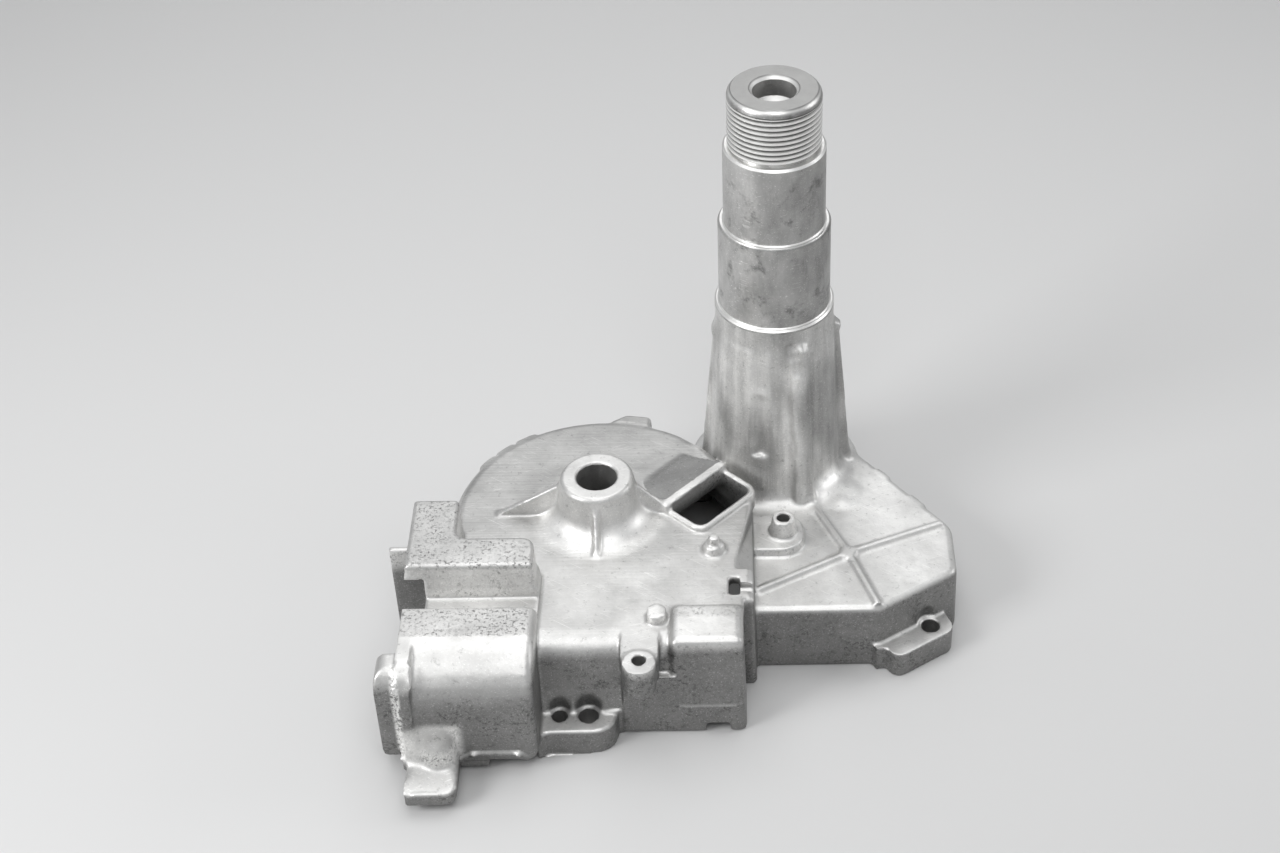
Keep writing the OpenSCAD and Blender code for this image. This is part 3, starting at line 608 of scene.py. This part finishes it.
    @staticmethod
    def rough_edge(b: Board) -> Socket:
        """Masks the bright torn flash down the edge of the motor flange."""
        return b.times(b.ramp(b.noise(b.spot(), 0.9, 4, 0.6), 0.40, 0.54), FLANGE_EDGE.mask(b))

    @staticmethod
    def fillet_highlight_ring(b: Board) -> Socket:
        """Masks the fillet round the foot of the shaft boss, where a highlight is painted."""
        span = b.radius(SIZES.gear_x, SIZES.gear_y)
        ring = b.times(b.ramp(span, 22, 18, 0, 1), b.ramp(b.facing(Axis.Z), 0.25, 0.60))
        return b.times(ring, b.band(b.part(Axis.Z), SIZES.case_h + 0.1, SIZES.case_h + 6.0, 1.0))

    @staticmethod
    def specks(b: Board, raised: Socket) -> Socket:
        """Masks the dark specks and short folds of the raised faces."""
        fine = b.ramp(b.noise(b.spot(), 1.0, 7, 0.74), 0.53, 0.60)
        patchy = b.ramp(b.noise(b.spot(), 0.14, 3, 0.6), 0.34, 0.60, 0.25, 1.0)
        return b.times(raised, b.times(fine, patchy))

    @staticmethod
    def pits(b: Board, wall: Socket, tube: Socket) -> Socket:
        """Masks the sandy pits of the walls, denser where they are dirty, and the few on the other faces."""
        dirty = b.ramp(b.noise(b.spot(), 0.075, 4, 0.6), 0.42, 0.62)
        fine = b.ramp(b.noise(b.spot(), 0.90, 6, 0.78), 0.50, 0.60)
        rare = b.ramp(b.noise(b.spot(), 0.60, 6, 0.74), 0.58, 0.66)
        clean = b.times(b.less(tube, 0.85), b.less(AROUND_BOSS.mask(b), 0.85))
        on_wall = b.times(wall, clean, b.share(0.22, dirty, 0.78))
        return b.plus(b.times(fine, on_wall), b.times(rare, 0.5), clamp=True)


@dataclass(frozen=True)
class TurnedFinish:
    """Turned metal with fine rings, stains and scuffs.

    Attributes:
        name: The material's name.
        tone: Its grey.
        rough: Its roughness.
        ring_depth: Depth of the turning marks, in millimetres.
        stain_and_side_shade: How dark the stains are, from 0 to 1, and how strongly the metal is painted
            lighter on its left and darker on its right as side light.
        level: The grey of the ledges and chamfers that look up, painted apart from the rest as light falling
            on them.
        root: Radius within which the metal is painted darker as shade in the thread's roots, or 0 where it is
            even.
        root_shade_share: How much of its grey the metal keeps within that radius.
        face_share: How much of its grey the tube's end face keeps.
        metal: The metallic share.
    """

    name: str
    tone: float
    rough: float
    ring_depth: float
    stain_and_side_shade: float
    level: float
    root: float = 0.0
    root_shade_share: float = 0.40
    face_share: float = 0.42
    metal: float = 0.92

    def material(self) -> bpy.types.Material:
        """Builds the node material.

        Returns:
            The turned metal's material.
        """
        b = Board(self.name)
        span, height = b.radius(), b.part(Axis.Z)
        along = add(b.tree, "CombineXYZ", {0: b.times(span, 6.0), 2: b.times(height, 6.0)})
        rings = b.noise(along, 1.0, 2, 0.6)
        smear = b.noise(b.spot((1.0, 1.0, 0.55)), 0.13, 5, 0.62)
        dirt = b.ramp(b.noise(b.spot(), 0.17, 7, 0.70), 0.53, 0.70)
        dots = b.ramp(b.noise(b.spot(), 1.5, 3, 0.6), 0.66, 0.72)
        nicks = scratches(b)
        scuff = b.ramp(b.noise(b.spot((1.0, 1.0, 0.18)), 0.42, 5, 0.7), 0.55, 0.72)

        tone = b.times(self.tone, b.mix(self.stain_and_side_shade, 1.0, b.share(0.30, smear, 1.4)))
        tone = b.times(tone, b.less(dirt, 0.50 * self.stain_and_side_shade), b.less(scuff, 0.12))
        # Painted side light: lighter on the left, darker on the right.
        tone = b.times(tone, b.mix(self.stain_and_side_shade, 1.0, b.ramp(b.part(Axis.X), -12, 13, 1.22, 0.76)))
        tone = b.plus(tone, b.times(b.plus(nicks, b.times(dots, 0.6)), 0.25 * self.stain_and_side_shade))
        # Painted light and shade: faces that look up take their own grey, lighter on the collars.
        ledge = b.times(b.share(0.82, smear, 0.36), self.level)
        tone = b.mix(b.ramp(b.facing(Axis.Z), 0.30, 0.85), tone, ledge)
        tone = b.times(tone, b.ramp(height, SIZES.tube_h - 0.5, SIZES.tube_h - 0.1, 1.0, self.face_share))
        # Painted shade in the thread's roots.
        if self.root:
            tone = b.times(tone, b.ramp(span, self.root + 0.05, self.root + 0.60, self.root_shade_share, 1.0))
        b.colour(tone)
        b.shade("Metallic", self.metal)
        rough = b.share(self.rough, rings, 0.08)
        b.shade("Roughness", b.mix(b.times(scuff, 0.7), rough, self.rough + 0.20))
        relief = b.bump(rings, self.ring_depth)
        relief = b.bump(b.plus(nicks, b.times(dirt, -0.5)), 0.02, relief)
        b.shade("Normal", b.bump(scuff, 0.010, relief))
        return b.material


# The casting
FINE_WAVE, WIDE_WAVE = 4.1, 1.7


@dataclass(frozen=True)
class Stroke:
    """A soft push along a line on the raw casting's skin.

    Attributes:
        start: One end of the line, in millimetres.
        end: Its other end.
        reach: The distance at which the push has died away, in millimetres.
        push: The move on the line itself, in millimetres.
        ragged: How much the push comes and goes along the line, from 0 to 1.
    """

    start: Spot
    end: Spot
    reach: float
    push: Spot
    ragged: float = 0.0

    def moves(self, spots: np.ndarray) -> np.ndarray:
        """Gives the move of each point, in millimetres."""
        a, along = np.array(self.start), np.subtract(self.end, self.start)
        part = np.clip((spots - a) @ along / max(float(along @ along), 1e-9), 0, 1)
        gap = np.linalg.norm(spots - (a + part[:, None] * along), axis=1)
        fall = np.clip(1 - (gap / self.reach) ** 2, 0, None) ** 2
        way = part * np.linalg.norm(along)
        wave = 0.5 + 0.5 * np.sin(FINE_WAVE * way) * np.sin(WIDE_WAVE * way + 1.0)
        return (fall * (1 - self.ragged * wave))[:, None] * np.array(self.push)


@dataclass(frozen=True)
class Zone:
    """A stretch of the skin that the die rounds more than the rest.

    Attributes:
        low: Its lowest corner, in millimetres.
        high: Its highest corner.
        passes: Number of smoothing passes.
        ring: Axis and radii of a ring that limits it, if there is one.
    """

    low: Spot
    high: Spot
    passes: int
    ring: tuple[float, float, float, float] | None = None

    def weights(self, spots: np.ndarray, border: float = 1.2) -> np.ndarray:
        """Gives each point's share in the zone, with a soft border."""
        inside = np.minimum(spots - np.array(self.low), np.array(self.high) - spots).min(axis=1)
        if self.ring is not None:
            x, y, near, far = self.ring
            radius = np.hypot(spots[:, 0] - x, spots[:, 1] - y)
            inside = np.minimum(inside, np.minimum(radius - near, far - radius))
        return np.clip(inside / border, 0, 1)


ZONES = (
    Zone((-5.0, -30, 20.5), (30, 30, 46), 45, (0, 0, 15.0, 28.5)),
    Zone((-30, -6, 20.5), (-4.0, 30, 46), 45, (0, 0, 15.0, 28.5)),
    Zone((-99.5, -106, 6), (-69, -86, 39), 30),
    Zone((-66, -91, 9.5), (-45, -81, 34), 25),
    Zone((-102.0, -116, 8.0), (-86, -100, 21), 70),
    Zone((-66, -93, 8.8), (-48, -86, 19), 30),
    Zone((-80, -64, 33.4), (-23, -7, 44), 12, (SIZES.gear_x, SIZES.gear_y, 10.8, 21.5)),
)

STROKES = (
    # Front rib of the tube: bulge and dent at its top, the rib, and the groove on its right
    Stroke((7.2, -16.9, 77.0), (7.8, -17.4, 74.0), 3.0, (0.40, -0.95, 0.25)),
    Stroke((4.6, -17.3, 77.2), (4.9, -17.5, 74.6), 2.4, (-0.2, 0.80, 0.0)),
    Stroke((6.8, -18.0, 67.0), (7.4, -21.6, 32.0), 2.8, (0.0, -0.8, 0.0)),
    Stroke((9.6, -16.2, 72.0), (11.6, -19.5, 32.0), 1.8, (-0.25, 0.5, 0.0)),
    # Side ribs: bulges at their tops
    Stroke((-18.0, -1.0, 72.4), (-18.0, 1.0, 72.4), 2.6, (-0.7, -0.2, 0.2)),
    Stroke((18.4, -1.0, 73.6), (18.4, 1.0, 73.6), 2.6, (0.6, -0.2, 0.2)),
    # Swell at the tube's root on the right, and the smaller one on the left
    Stroke((18.6, -18.4, 24.0), (20.5, -15.0, 24.5), 7.0, (0.3, -0.5, 0.9)),
    Stroke((-8.5, -12.5, 33.5), (-5.0, -17.0, 30.0), 5.0, (-0.2, -0.7, 0.8)),
    # The fading ends of the groove left of the rib
    Stroke((-4.4, -17.4, 64.0), (-4.2, -17.0, 74.0), 3.4, (0.08, 0.45, 0.0)),
    Stroke((-4.7, -18.7, 41.0), (-4.5, -18.0, 58.0), 3.6, (0.12, 0.55, 0.0)),
    # Flash along the gear case's far edge
    Stroke((-87.0, -13.4, 31.6), (-84.4, -9.5, 31.6), 1.9, (-0.60, 0.36, 0.45)),
    Stroke((-82.6, -7.4, 31.6), (-79.2, -4.2, 31.6), 1.9, (-0.48, 0.48, 0.45)),
    Stroke((-77.0, -2.4, 31.6), (-72.8, 0.4, 31.6), 1.9, (-0.36, 0.60, 0.45)),
    # Flash nibs on the link case's far edge
    Stroke((31.2, -6.4, 21.6), (33.8, -9.2, 21.6), 1.8, (0.6, 0.5, 0.3), 0.3),
    Stroke((41.0, -18.2, 21.6), (44.0, -21.6, 21.6), 1.8, (0.6, 0.5, 0.3), 0.3),
    # Rough edge of the flange and the foot
    Stroke((-103.0, -104.0, 34.2), (-103.0, -107.6, 27.0), 1.5, (-1.0, -0.6, 0.2), 0.9),
    Stroke((-103.0, -107.8, 27.0), (-103.0, -107.9, 10.0), 1.5, (-1.0, -0.6, 0.0), 1.0),
    Stroke((-101.9, -108.0, 9.6), (-101.9, -118.4, 7.6), 1.3, (-0.5, 0.0, 0.35), 0.5),
    # Parting lip under the bell
    Stroke((-87.5, -104.8, 5.8), (-84.0, -105.0, 7.6), 1.7, (0.0, -0.9, 0.2), 0.2),
    Stroke((-84.0, -105.0, 7.6), (-72.0, -104.8, 7.4), 1.7, (0.0, -0.9, 0.2), 0.35),
    Stroke((-72.0, -104.8, 7.4), (-70.0, -104.0, 5.6), 1.7, (0.0, -0.9, 0.2), 0.2),
    # Lip down the foot's right side, and the bump on its front edge
    Stroke((-88.6, -106.5, 8.4), (-88.3, -116.0, 6.6), 1.5, (0.45, 0.0, 0.5), 0.3),
    Stroke((-98.5, -118.8, 7.2), (-92.5, -118.8, 7.2), 1.6, (0.0, -0.3, 0.5), 0.3),
    # Slanted ridge on the flange
    Stroke((-99.0, -104.0, 33.4), (-98.6, -100.0, 36.4), 1.7, (0.8, -0.3, 0.6)),
    # Tick of flash beside the front ear
    Stroke((-48.0, -90.6, 8.2), (-45.2, -91.0, 8.6), 1.4, (0.0, -0.5, 0.8), 0.2),
)


SWELL_SIZE, SWELL_TILT, SWELL_AT = (6.6, 7.5, 2.4), 51, (-96.3, -105.9, 11.6)
SEAM_SIZE, SEAM_AT = (20.0, 6.0, 2.6), (-20.0, -73.4, 31.65)


@dataclass
class RawCasting:
    """The casting as it leaves the die, with the soft edges that the solid lacks.

    Attributes:
        node: The CAD node that it stands for.
        voxel: Cell size of the softened skin, in millimetres.
        quick_voxel: A coarser cell size of the softened skin; not used.
        relax_passes: Number of passes that round the edges.
        relax_share: Share of the way that a pass moves each point.
        weight_steps: Number of steps across a zone's soft border.
        budget: Largest number of triangles that the skin keeps.
        block_limit: A place along X just right of the block, in millimetres.
    """

    node: str = "housing"
    voxel: float = 0.5
    quick_voxel: float = 0.8
    relax_passes: int = 5
    relax_share: float = 0.5
    weight_steps: int = 4
    budget: int = 140_000
    block_limit: float = -60.0

    def build(self, solid: bpy.types.Object, finish: bpy.types.Material) -> bpy.types.Object:
        """Makes the softened casting.

        Args:
            solid: The CAD node's object, which is left alone.
            finish: The casting's material.

        Returns:
            The casting, before it is machined.
        """
        casting = self.copy(solid)
        self.soften(casting)
        self.round_zones(casting)
        self.stroke(casting)
        self.thin(casting)
        casting.data.materials.clear()
        casting.data.materials.append(finish)
        LOG.info("%s: %d triangles after softening", casting.name, triangles(casting))
        return casting

    def copy(self, solid: bpy.types.Object) -> bpy.types.Object:
        """Copies the CAD mesh and joins its loose triangles."""
        bm = bmesh.new()
        bm.from_mesh(solid.data)
        bmesh.ops.remove_doubles(bm, verts=bm.verts, dist=0.001 * MM)
        self.refill_block_top(bm)
        self.add_swells(bm)
        mesh = bpy.data.meshes.new("housing_casting")
        bm.to_mesh(mesh)
        bm.free()
        return link("housing_casting", mesh)

    def refill_block_top(self, bm: bmesh.types.BMesh) -> None:
        """Fills the block's L-shaped top afresh, because its triangles fold over the inner corner."""
        top = [f for f in bm.faces if all(self.on_block_top(v) for v in f.verts)]
        if not top:
            return
        bmesh.ops.delete(bm, geom=top, context="FACES_ONLY")
        rim = [e for e in bm.edges if e.is_boundary and all(self.on_block_top(v) for v in e.verts)]
        bmesh.ops.triangle_fill(bm, edges=rim, use_beauty=True, use_dissolve=False, normal=(0, 0, 1))
        LOG.info("block top: %d old triangles, %d rim edges", len(top), len(rim))
        loose = [e for e in bm.edges if not e.link_faces]
        bmesh.ops.delete(bm, geom=loose, context="EDGES")

    def on_block_top(self, vert: bmesh.types.BMVert) -> bool:
        """Tells whether a point lies on the block's top."""
        return abs(vert.co.z / MM - SIZES.block_h) < 0.001 and vert.co.x / MM < self.block_limit

    def add_swells(self, bm: bmesh.types.BMesh) -> None:
        """Adds the swell between foot and bell, and closes the seam behind the end box."""
        swell = bmesh.ops.create_icosphere(bm, subdivisions=4, radius=MM)["verts"]
        bmesh.ops.scale(bm, vec=SWELL_SIZE, verts=swell)
        bmesh.ops.rotate(bm, matrix=Matrix.Rotation(math.radians(SWELL_TILT), 3, "X"), verts=swell)
        bmesh.ops.translate(bm, vec=[part * MM for part in SWELL_AT], verts=swell)
        seam = bmesh.ops.create_cube(bm, size=MM)["verts"]
        bmesh.ops.scale(bm, vec=SEAM_SIZE, verts=seam)
        bmesh.ops.translate(bm, vec=[part * MM for part in SEAM_AT], verts=seam)

    def soften(self, casting: bpy.types.Object) -> None:
        """Rebuilds the skin in small cells and rounds its edges."""
        skin = casting.modifiers.new("skin", "REMESH")
        skin.mode = "VOXEL"
        skin.voxel_size = self.voxel * MM
        skin.adaptivity = 0.0
        relax = casting.modifiers.new("relax", "SMOOTH")
        relax.factor = self.relax_share
        relax.iterations = self.relax_passes
        settle(casting)

    def round_zones(self, casting: bpy.types.Object) -> None:
        """Rounds the zones that the die rounds more."""
        spots = self.spots(casting)
        for count, zone in enumerate(ZONES):
            share = np.round(zone.weights(spots) * self.weight_steps)
            group = casting.vertex_groups.new(name=f"zone_{count}")
            for step in range(1, self.weight_steps + 1):
                group.add(np.flatnonzero(share == step).tolist(), step / self.weight_steps, "REPLACE")
            relax = casting.modifiers.new(group.name, "SMOOTH")
            relax.vertex_group = group.name
            relax.factor = self.relax_share
            relax.iterations = zone.passes
        settle(casting)
        casting.vertex_groups.clear()

    def stroke(self, casting: bpy.types.Object) -> None:
        """Adds the flash, swells, dents and lips that the mould leaves."""
        spots = self.spots(casting)
        spots += sum(line.moves(spots) for line in STROKES)
        casting.data.vertices.foreach_set("co", (spots * MM).astype(np.float32).ravel())
        casting.data.update()

    @staticmethod
    def spots(casting: bpy.types.Object) -> np.ndarray:
        """Reads the skin's points, in millimetres."""
        flat = np.empty(len(casting.data.vertices) * 3, dtype=np.float32)
        casting.data.vertices.foreach_get("co", flat)
        return flat.reshape(-1, 3).astype(float) / MM

    def thin(self, casting: bpy.types.Object) -> None:
        """Takes triangles away where the skin is flat."""
        count = triangles(casting)
        LOG.info("%s: %d triangles before thinning", casting.name, count)
        fewer = casting.modifiers.new("fewer", "DECIMATE")
        fewer.decimate_type = "COLLAPSE"
        fewer.ratio = min(1.0, self.budget / count)
        settle(casting)


@dataclass
class Neck:
    """The turned upper tube, with its collars and its thread.

    Attributes:
        foot_z: Height at which the turned surface starts.
        lap: How far the turned solid reaches down into the casting.
        waste_d: Diameter within which the cast neck is cut away.
        corner: Size of the chamfers at the feet of the collars.
        thread_depth: Depth of the thread.
        crest_w: Width of the thread's crest.
        flank: Slope of the thread's flanks, in degrees.
        steps: Facets round the neck.
        turn_steps: Facets in one turn of the thread.
    """

    foot_z: float = 82.7
    lap: float = 6.0
    waste_d: float = 60.0
    corner: float = 0.35
    thread_depth: float = 0.74
    crest_w: float = 0.50
    flank: float = 30.0
    steps: int = 160
    turn_steps: int = 96

    def join(
        self, casting: bpy.types.Object, collars: bpy.types.Material, thread: bpy.types.Material,
    ) -> None:
        """Cuts the cast neck away and joins the turned one.

        Args:
            casting: The casting.
            collars: The collars' material.
            thread: The thread's material.
        """
        waste = bmesh.new()
        Lathe().drill(waste, self.waste_d, self.foot_z, SIZES.tube_h + 5)
        combine(casting, to_object("waste", waste), Cut.AWAY)
        neck = self.body(collars)
        combine(neck, self.thread(thread), Cut.JOIN)
        combine(casting, neck, Cut.JOIN)

    def body(self, finish: bpy.types.Material) -> bpy.types.Object:
        """Turns the neck's solid, with its ledges and chamfers."""
        s = SIZES
        r1, r2, r3 = s.collar_1_d / 2, s.collar_2_d / 2, s.collar_3_d / 2
        crest, root = s.thread_d / 2, s.thread_d / 2 - self.thread_depth
        corner = self.corner
        outline = [
            (0, self.foot_z - self.lap), (r3 - 1.5, self.foot_z - self.lap),
            (r3 - 1.5, self.foot_z - 0.2), (r3 + 0.03, self.foot_z - 0.2),
            (r3, s.ledge_3 - 0.5), (r3 - 0.5, s.ledge_3),
            (r2 + corner, s.ledge_3), (r2, s.ledge_3 + corner),
            (r2 - 0.1, s.ledge_2 - 0.7), (r2 - 0.7, s.ledge_2),
            (r1 + corner, s.ledge_2), (r1, s.ledge_2 + corner),
            (r1 - 0.1, s.ledge_1 - 0.6), (r1 - 0.7, s.ledge_1), (root, s.ledge_1), (root, s.tube_h - 2.6),
            (crest - 0.02, s.tube_h - 2.0), (crest - 0.18, s.tube_h - 1.25), (crest - 0.55, s.tube_h - 0.6),
            (crest - 1.2, s.tube_h), (0, s.tube_h),
        ]
        bm = bmesh.new()
        Lathe(steps=self.steps).turn(bm, outline)
        neck = to_object("neck", bm)
        neck.data.materials.append(finish)
        return neck

    def thread(self, finish: bpy.types.Material) -> bpy.types.Object:
        """Sweeps the thread's ridge up its helix and trims it to the neck's chamfer."""
        s = SIZES
        crest, root = s.thread_d / 2, s.thread_d / 2 - self.thread_depth
        half_crest = self.crest_w / 2
        half_root = half_crest + self.thread_depth * math.tan(math.radians(self.flank))
        start = s.ledge_1 + 0.3
        turns = math.ceil((s.tube_h + s.thread_pitch - start) / s.thread_pitch)
        bm = bmesh.new()
        shape = [
            (root - 0.5, -half_root), (root, -half_root), (crest, -half_crest),
            (crest, half_crest), (root, half_root), (root - 0.5, half_root),
        ]
        verts = [bm.verts.new((r, 0, start + z)) for r, z in shape]
        edges = [bm.edges.new(pair) for pair in zip(verts, verts[1:] + verts[:1])]
        rise = (0, 0, s.thread_pitch / self.turn_steps)
        bmesh.ops.spin(
            bm, geom=verts + edges, cent=(0, 0, 0), axis=(0, 0, 1), dvec=rise,
            angle=math.tau * turns, steps=self.turn_steps * turns, use_merge=False,
        )
        bmesh.ops.holes_fill(bm, edges=[e for e in bm.edges if e.is_boundary], sides=len(shape))
        ridge = to_object("ridge", bm)
        ridge.data.materials.append(finish)
        hull = bmesh.new()
        Lathe(steps=self.steps).turn(hull, [
            (0, s.ledge_1 + 0.1), (crest - 0.4, s.ledge_1 + 0.1), (crest + 0.01, s.ledge_1 + 0.6),
            (crest + 0.01, s.tube_h - 2.3), (0, s.tube_h - 2.3),
        ])
        combine(ridge, to_object("hull", hull), Cut.KEEP)
        return ridge


@dataclass
class Drilling:
    """Every bore and hole that is machined after casting.

    Attributes:
        clear: How far a drill starts above a face.
        through: How far it comes out below.
        seat_lead: Depth of the chamfers of the spindle's seat.
        shaft_lead: Depth of the chamfer of the shaft's bore.
        screw_steps: Facets round a screw hole.
    """

    clear: float = 0.6
    through: float = 1.0
    seat_lead: float = 1.0
    shaft_lead: float = 0.5
    screw_steps: int = 48

    def cut(self, casting: bpy.types.Object, finish: bpy.types.Material) -> None:
        """Cuts all the holes.

        Args:
            casting: The casting.
            finish: The material of the holes' walls.
        """
        bm = bmesh.new()
        self.spindle_bores(bm)
        self.shaft_bore(bm)
        self.screw_holes(bm)
        drills = to_object("drills", bm)
        drills.data.materials.append(finish)
        combine(casting, drills, Cut.AWAY)

    def spindle_bores(self, bm: bmesh.types.BMesh) -> None:
        """Adds the stepped bore of the spindle tube."""
        s = SIZES
        seat_z = s.tube_h - s.seat_depth
        spindle_z = seat_z - s.spindle_len
        lower_z = s.hub_z + s.lower_seat_len
        lower_r, core_r, spindle_r, seat_r = s.lower_seat_d / 2, s.core_d / 2, s.spindle_d / 2, s.seat_d / 2
        Lathe().turn(bm, [
            (0, -self.through), (lower_r, -self.through), (lower_r, lower_z), (core_r, lower_z),
            (core_r, spindle_z), (spindle_r, spindle_z), (spindle_r, seat_z),
            (seat_r, seat_z + self.seat_lead), *self.mouth(seat_r, s.tube_h, self.seat_lead),
        ])

    def shaft_bore(self, bm: bmesh.types.BMesh) -> None:
        """Adds the gear shaft's bore, with a small lead at its mouth."""
        s = SIZES
        bottom = s.case_h - s.deck_t - s.shaft_hub_len - self.through
        r = s.shaft_d / 2
        mouth = self.mouth(r, s.case_h + s.boss_h, self.shaft_lead)
        Lathe(s.gear_x, s.gear_y).turn(bm, [(0, bottom), (r, bottom), *mouth])

    def mouth(self, radius: float, face: float, lead: float) -> list[tuple[float, float]]:
        """Gives the chamfer at a bore's mouth, up to where the drill starts."""
        start = face + self.clear
        return [(radius, face - lead), (radius + lead + self.clear, start), (0, start)]

    def screw_holes(self, bm: bmesh.types.BMesh) -> None:
        """Adds the ear and post holes."""
        s = SIZES
        small_post_floor = s.small_post_top - s.small_post_hole_len
        for at, diameter, low, face in (
            ((s.ear_x, s.ear_y), s.ear_hole_a_d, -self.through, s.ear_h),
            ((s.ear_x + s.ear_gap, s.ear_y), s.ear_hole_b_d, -self.through, s.ear_h),
            (s.ear_hole_c, s.ear_hole_c_d, -self.through, s.ear_h),
            (s.post_xy, s.post_hole_d, s.post_top - s.post_hole_len, s.post_top),
            (s.small_post_xy, s.post_hole_d, small_post_floor, s.small_post_top),
        ):
            Lathe(*at, self.screw_steps).drill(bm, diameter, low, face + self.clear)


@dataclass
class Housing:
    """The whole machined casting.

    Attributes:
        raw: The casting before it is machined.
        neck: Its turned neck.
        drilling: Its bores and holes.
        sharp_from: The angle from which an edge stays crisp, in degrees.
        flatness: How strongly large faces set the shading.
    """

    raw: RawCasting = field(default_factory=RawCasting)
    neck: Neck = field(default_factory=Neck)
    drilling: Drilling = field(default_factory=Drilling)
    sharp_from: float = 42.0
    flatness: int = 60

    def build(self, frame: dict[str, dict]) -> bpy.types.Object:
        """Builds and dresses the housing.


        Returns:
            The finished piece.
        """
        cast = CastFinish().material()
        collars = TurnedFinish("turned_collars", 0.42, 0.32, 0.006, 1.0, 0.78).material()
        thread_root = SIZES.thread_d / 2 - self.neck.thread_depth
        bright = TurnedFinish("bright_machined", 0.92, 0.26, 0.005, 0.15, 0.60, thread_root).material()
        drilled = TurnedFinish("drilled_walls", 0.40, 0.40, 0.010, 0.5, 0.70).material()
        piece = self.raw.build(frame["nodes"][self.raw.node], cast)
        self.neck.join(piece, collars, bright)
        self.drilling.cut(piece, drilled)
        self.shade(piece)
        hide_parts(self.raw.node)
        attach(piece, "root")
        LOG.info("%s: %d triangles when finished", piece.name, triangles(piece))
        return piece

    def shade(self, piece: bpy.types.Object) -> None:
        """Shades the skin smoothly, with crisp machined edges."""
        piece.data.shade_smooth()
        piece.data.set_sharp_from_angle(angle=math.radians(self.sharp_from))
        flat = piece.modifiers.new("flat_faces", "WEIGHTED_NORMAL")
        flat.keep_sharp = True
        flat.weight = self.flatness
        settle(piece)


# The studio
@dataclass(frozen=True)
class Lamp:
    """A square soft lamp.

    Attributes:
        name: The lamp's name.
        at: Its place, in millimetres.
        aim: The point it looks at, in millimetres.
        size: Its width, in millimetres.
        power: Its power, in watts.
    """

    name: str
    at: Spot
    aim: Spot
    size: float
    power: float

    def hang(self) -> None:
        """Hangs the lamp in the scene."""
        data = bpy.data.lights.new(self.name, "AREA")
        data.size = self.size * MM
        data.energy = self.power
        lamp = link(self.name, data)
        lamp.location = Vector(self.at) * MM
        lamp.rotation_euler = (Vector(self.aim) - Vector(self.at)).to_track_quat("-Z", "Y").to_euler()


LAMPS = (
    Lamp("overhead", (-60, 120, 620), (-20, -30, 20), 520, 1.5),
    Lamp("behind", (-60, 560, 480), (-20, -30, 20), 420, 0.35),
    Lamp("front_top", (20, -480, 760), (0, -30, 60), 420, 1.6),
    Lamp("front_left", (-520, -330, 420), (-30, -50, 60), 260, 2.0),
    Lamp("right_rim", (560, 60, 300), (0, -30, 60), 260, 0.55),
)


@dataclass
class Studio:
    """A pale floor, soft lamps and the photograph's camera.

    Attributes:
        distance: Level distance of the camera from the spindle axis, in millimetres.
        height: Height of the camera, in millimetres.
        swing: Turn of the camera round the spindle axis, in degrees.
        pitch: Downward look, in degrees.
        lens: Focal length for a sensor 36 mm wide.
        shift: Sideways shift of the view.
        floor_tone: The floor's colour.
        floor_size: Half the floor's width, in millimetres.
        room_tone: The surround's colour.
        room_light: Strength at which the surround lights the object.
        room_seen: Strength at which the camera and the metal see it.
    """

    distance: float = 495.0
    height: float = 447.6
    swing: float = 1.3
    pitch: float = 39.835
    lens: float = 60.03
    shift: float = -0.1049
    floor_tone: tuple[float, float, float, float] = (0.69, 0.69, 0.69, 1)
    floor_size: float = 6000.0
    room_tone: tuple[float, float, float, float] = (0.86, 0.87, 0.88, 1)
    room_light: float = 0.30
    room_seen: float = 0.72

    def build(self) -> None:
        """Makes the floor, the lamps, the world and the camera."""
        self.floor()
        for lamp in LAMPS:
            lamp.hang()
        self.world()
        self.camera()
        bpy.context.scene.view_settings.view_transform = "Standard"

    def floor(self) -> None:
        """Lays a wide pale floor under the rim."""
        bm = bmesh.new()
        bmesh.ops.create_grid(bm, x_segments=1, y_segments=1, size=self.floor_size)
        bmesh.ops.translate(bm, vec=(0, 0, -0.05), verts=bm.verts)
        floor = to_object("floor", bm)
        b = Board("pale_floor")
        b.shade("Base Color", self.floor_tone)
        b.shade("Roughness", 0.9)
        floor.data.materials.append(b.material)

    def world(self) -> None:
        """Sets a plain pale surround, brighter where the camera or the metal sees it."""
        world = bpy.data.worlds.new("surround")
        world.use_nodes = True
        tree = world.node_tree
        sky = tree.nodes["Background"]
        sky.inputs["Color"].default_value = self.room_tone
        path = tree.nodes.new("ShaderNodeLightPath").outputs
        seen = add(tree, "Math", {0: path["Is Camera Ray"], 1: path["Is Glossy Ray"]}, operation="MAXIMUM")
        level = {"Value": seen, "To Min": self.room_light, "To Max": self.room_seen}
        put(tree, sky.inputs["Strength"], add(tree, "MapRange", level, "Result"))
        bpy.context.scene.world = world

    def camera(self) -> None:
        """Sets the camera at the photograph's place."""
        data = bpy.data.cameras.new("camera")
        data.sensor_width = 36.0
        data.lens = self.lens
        data.shift_x = self.shift
        data.clip_end = 20.0
        camera = link("camera", data)
        swing = math.radians(self.swing)
        place = (-self.distance * math.sin(swing), -self.distance * math.cos(swing), self.height)
        camera.location = Vector(place) * MM
        camera.rotation_euler = (math.radians(90 - self.pitch), 0, -swing)
        bpy.context.scene.camera = camera


def main() -> None:
    """Builds the housing and its studio."""
    logging.basicConfig(level=logging.INFO, format="%(name)s: %(message)s")
    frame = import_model()
    Housing().build(frame)
    Studio().build()


if __name__ == "__main__":
    main()
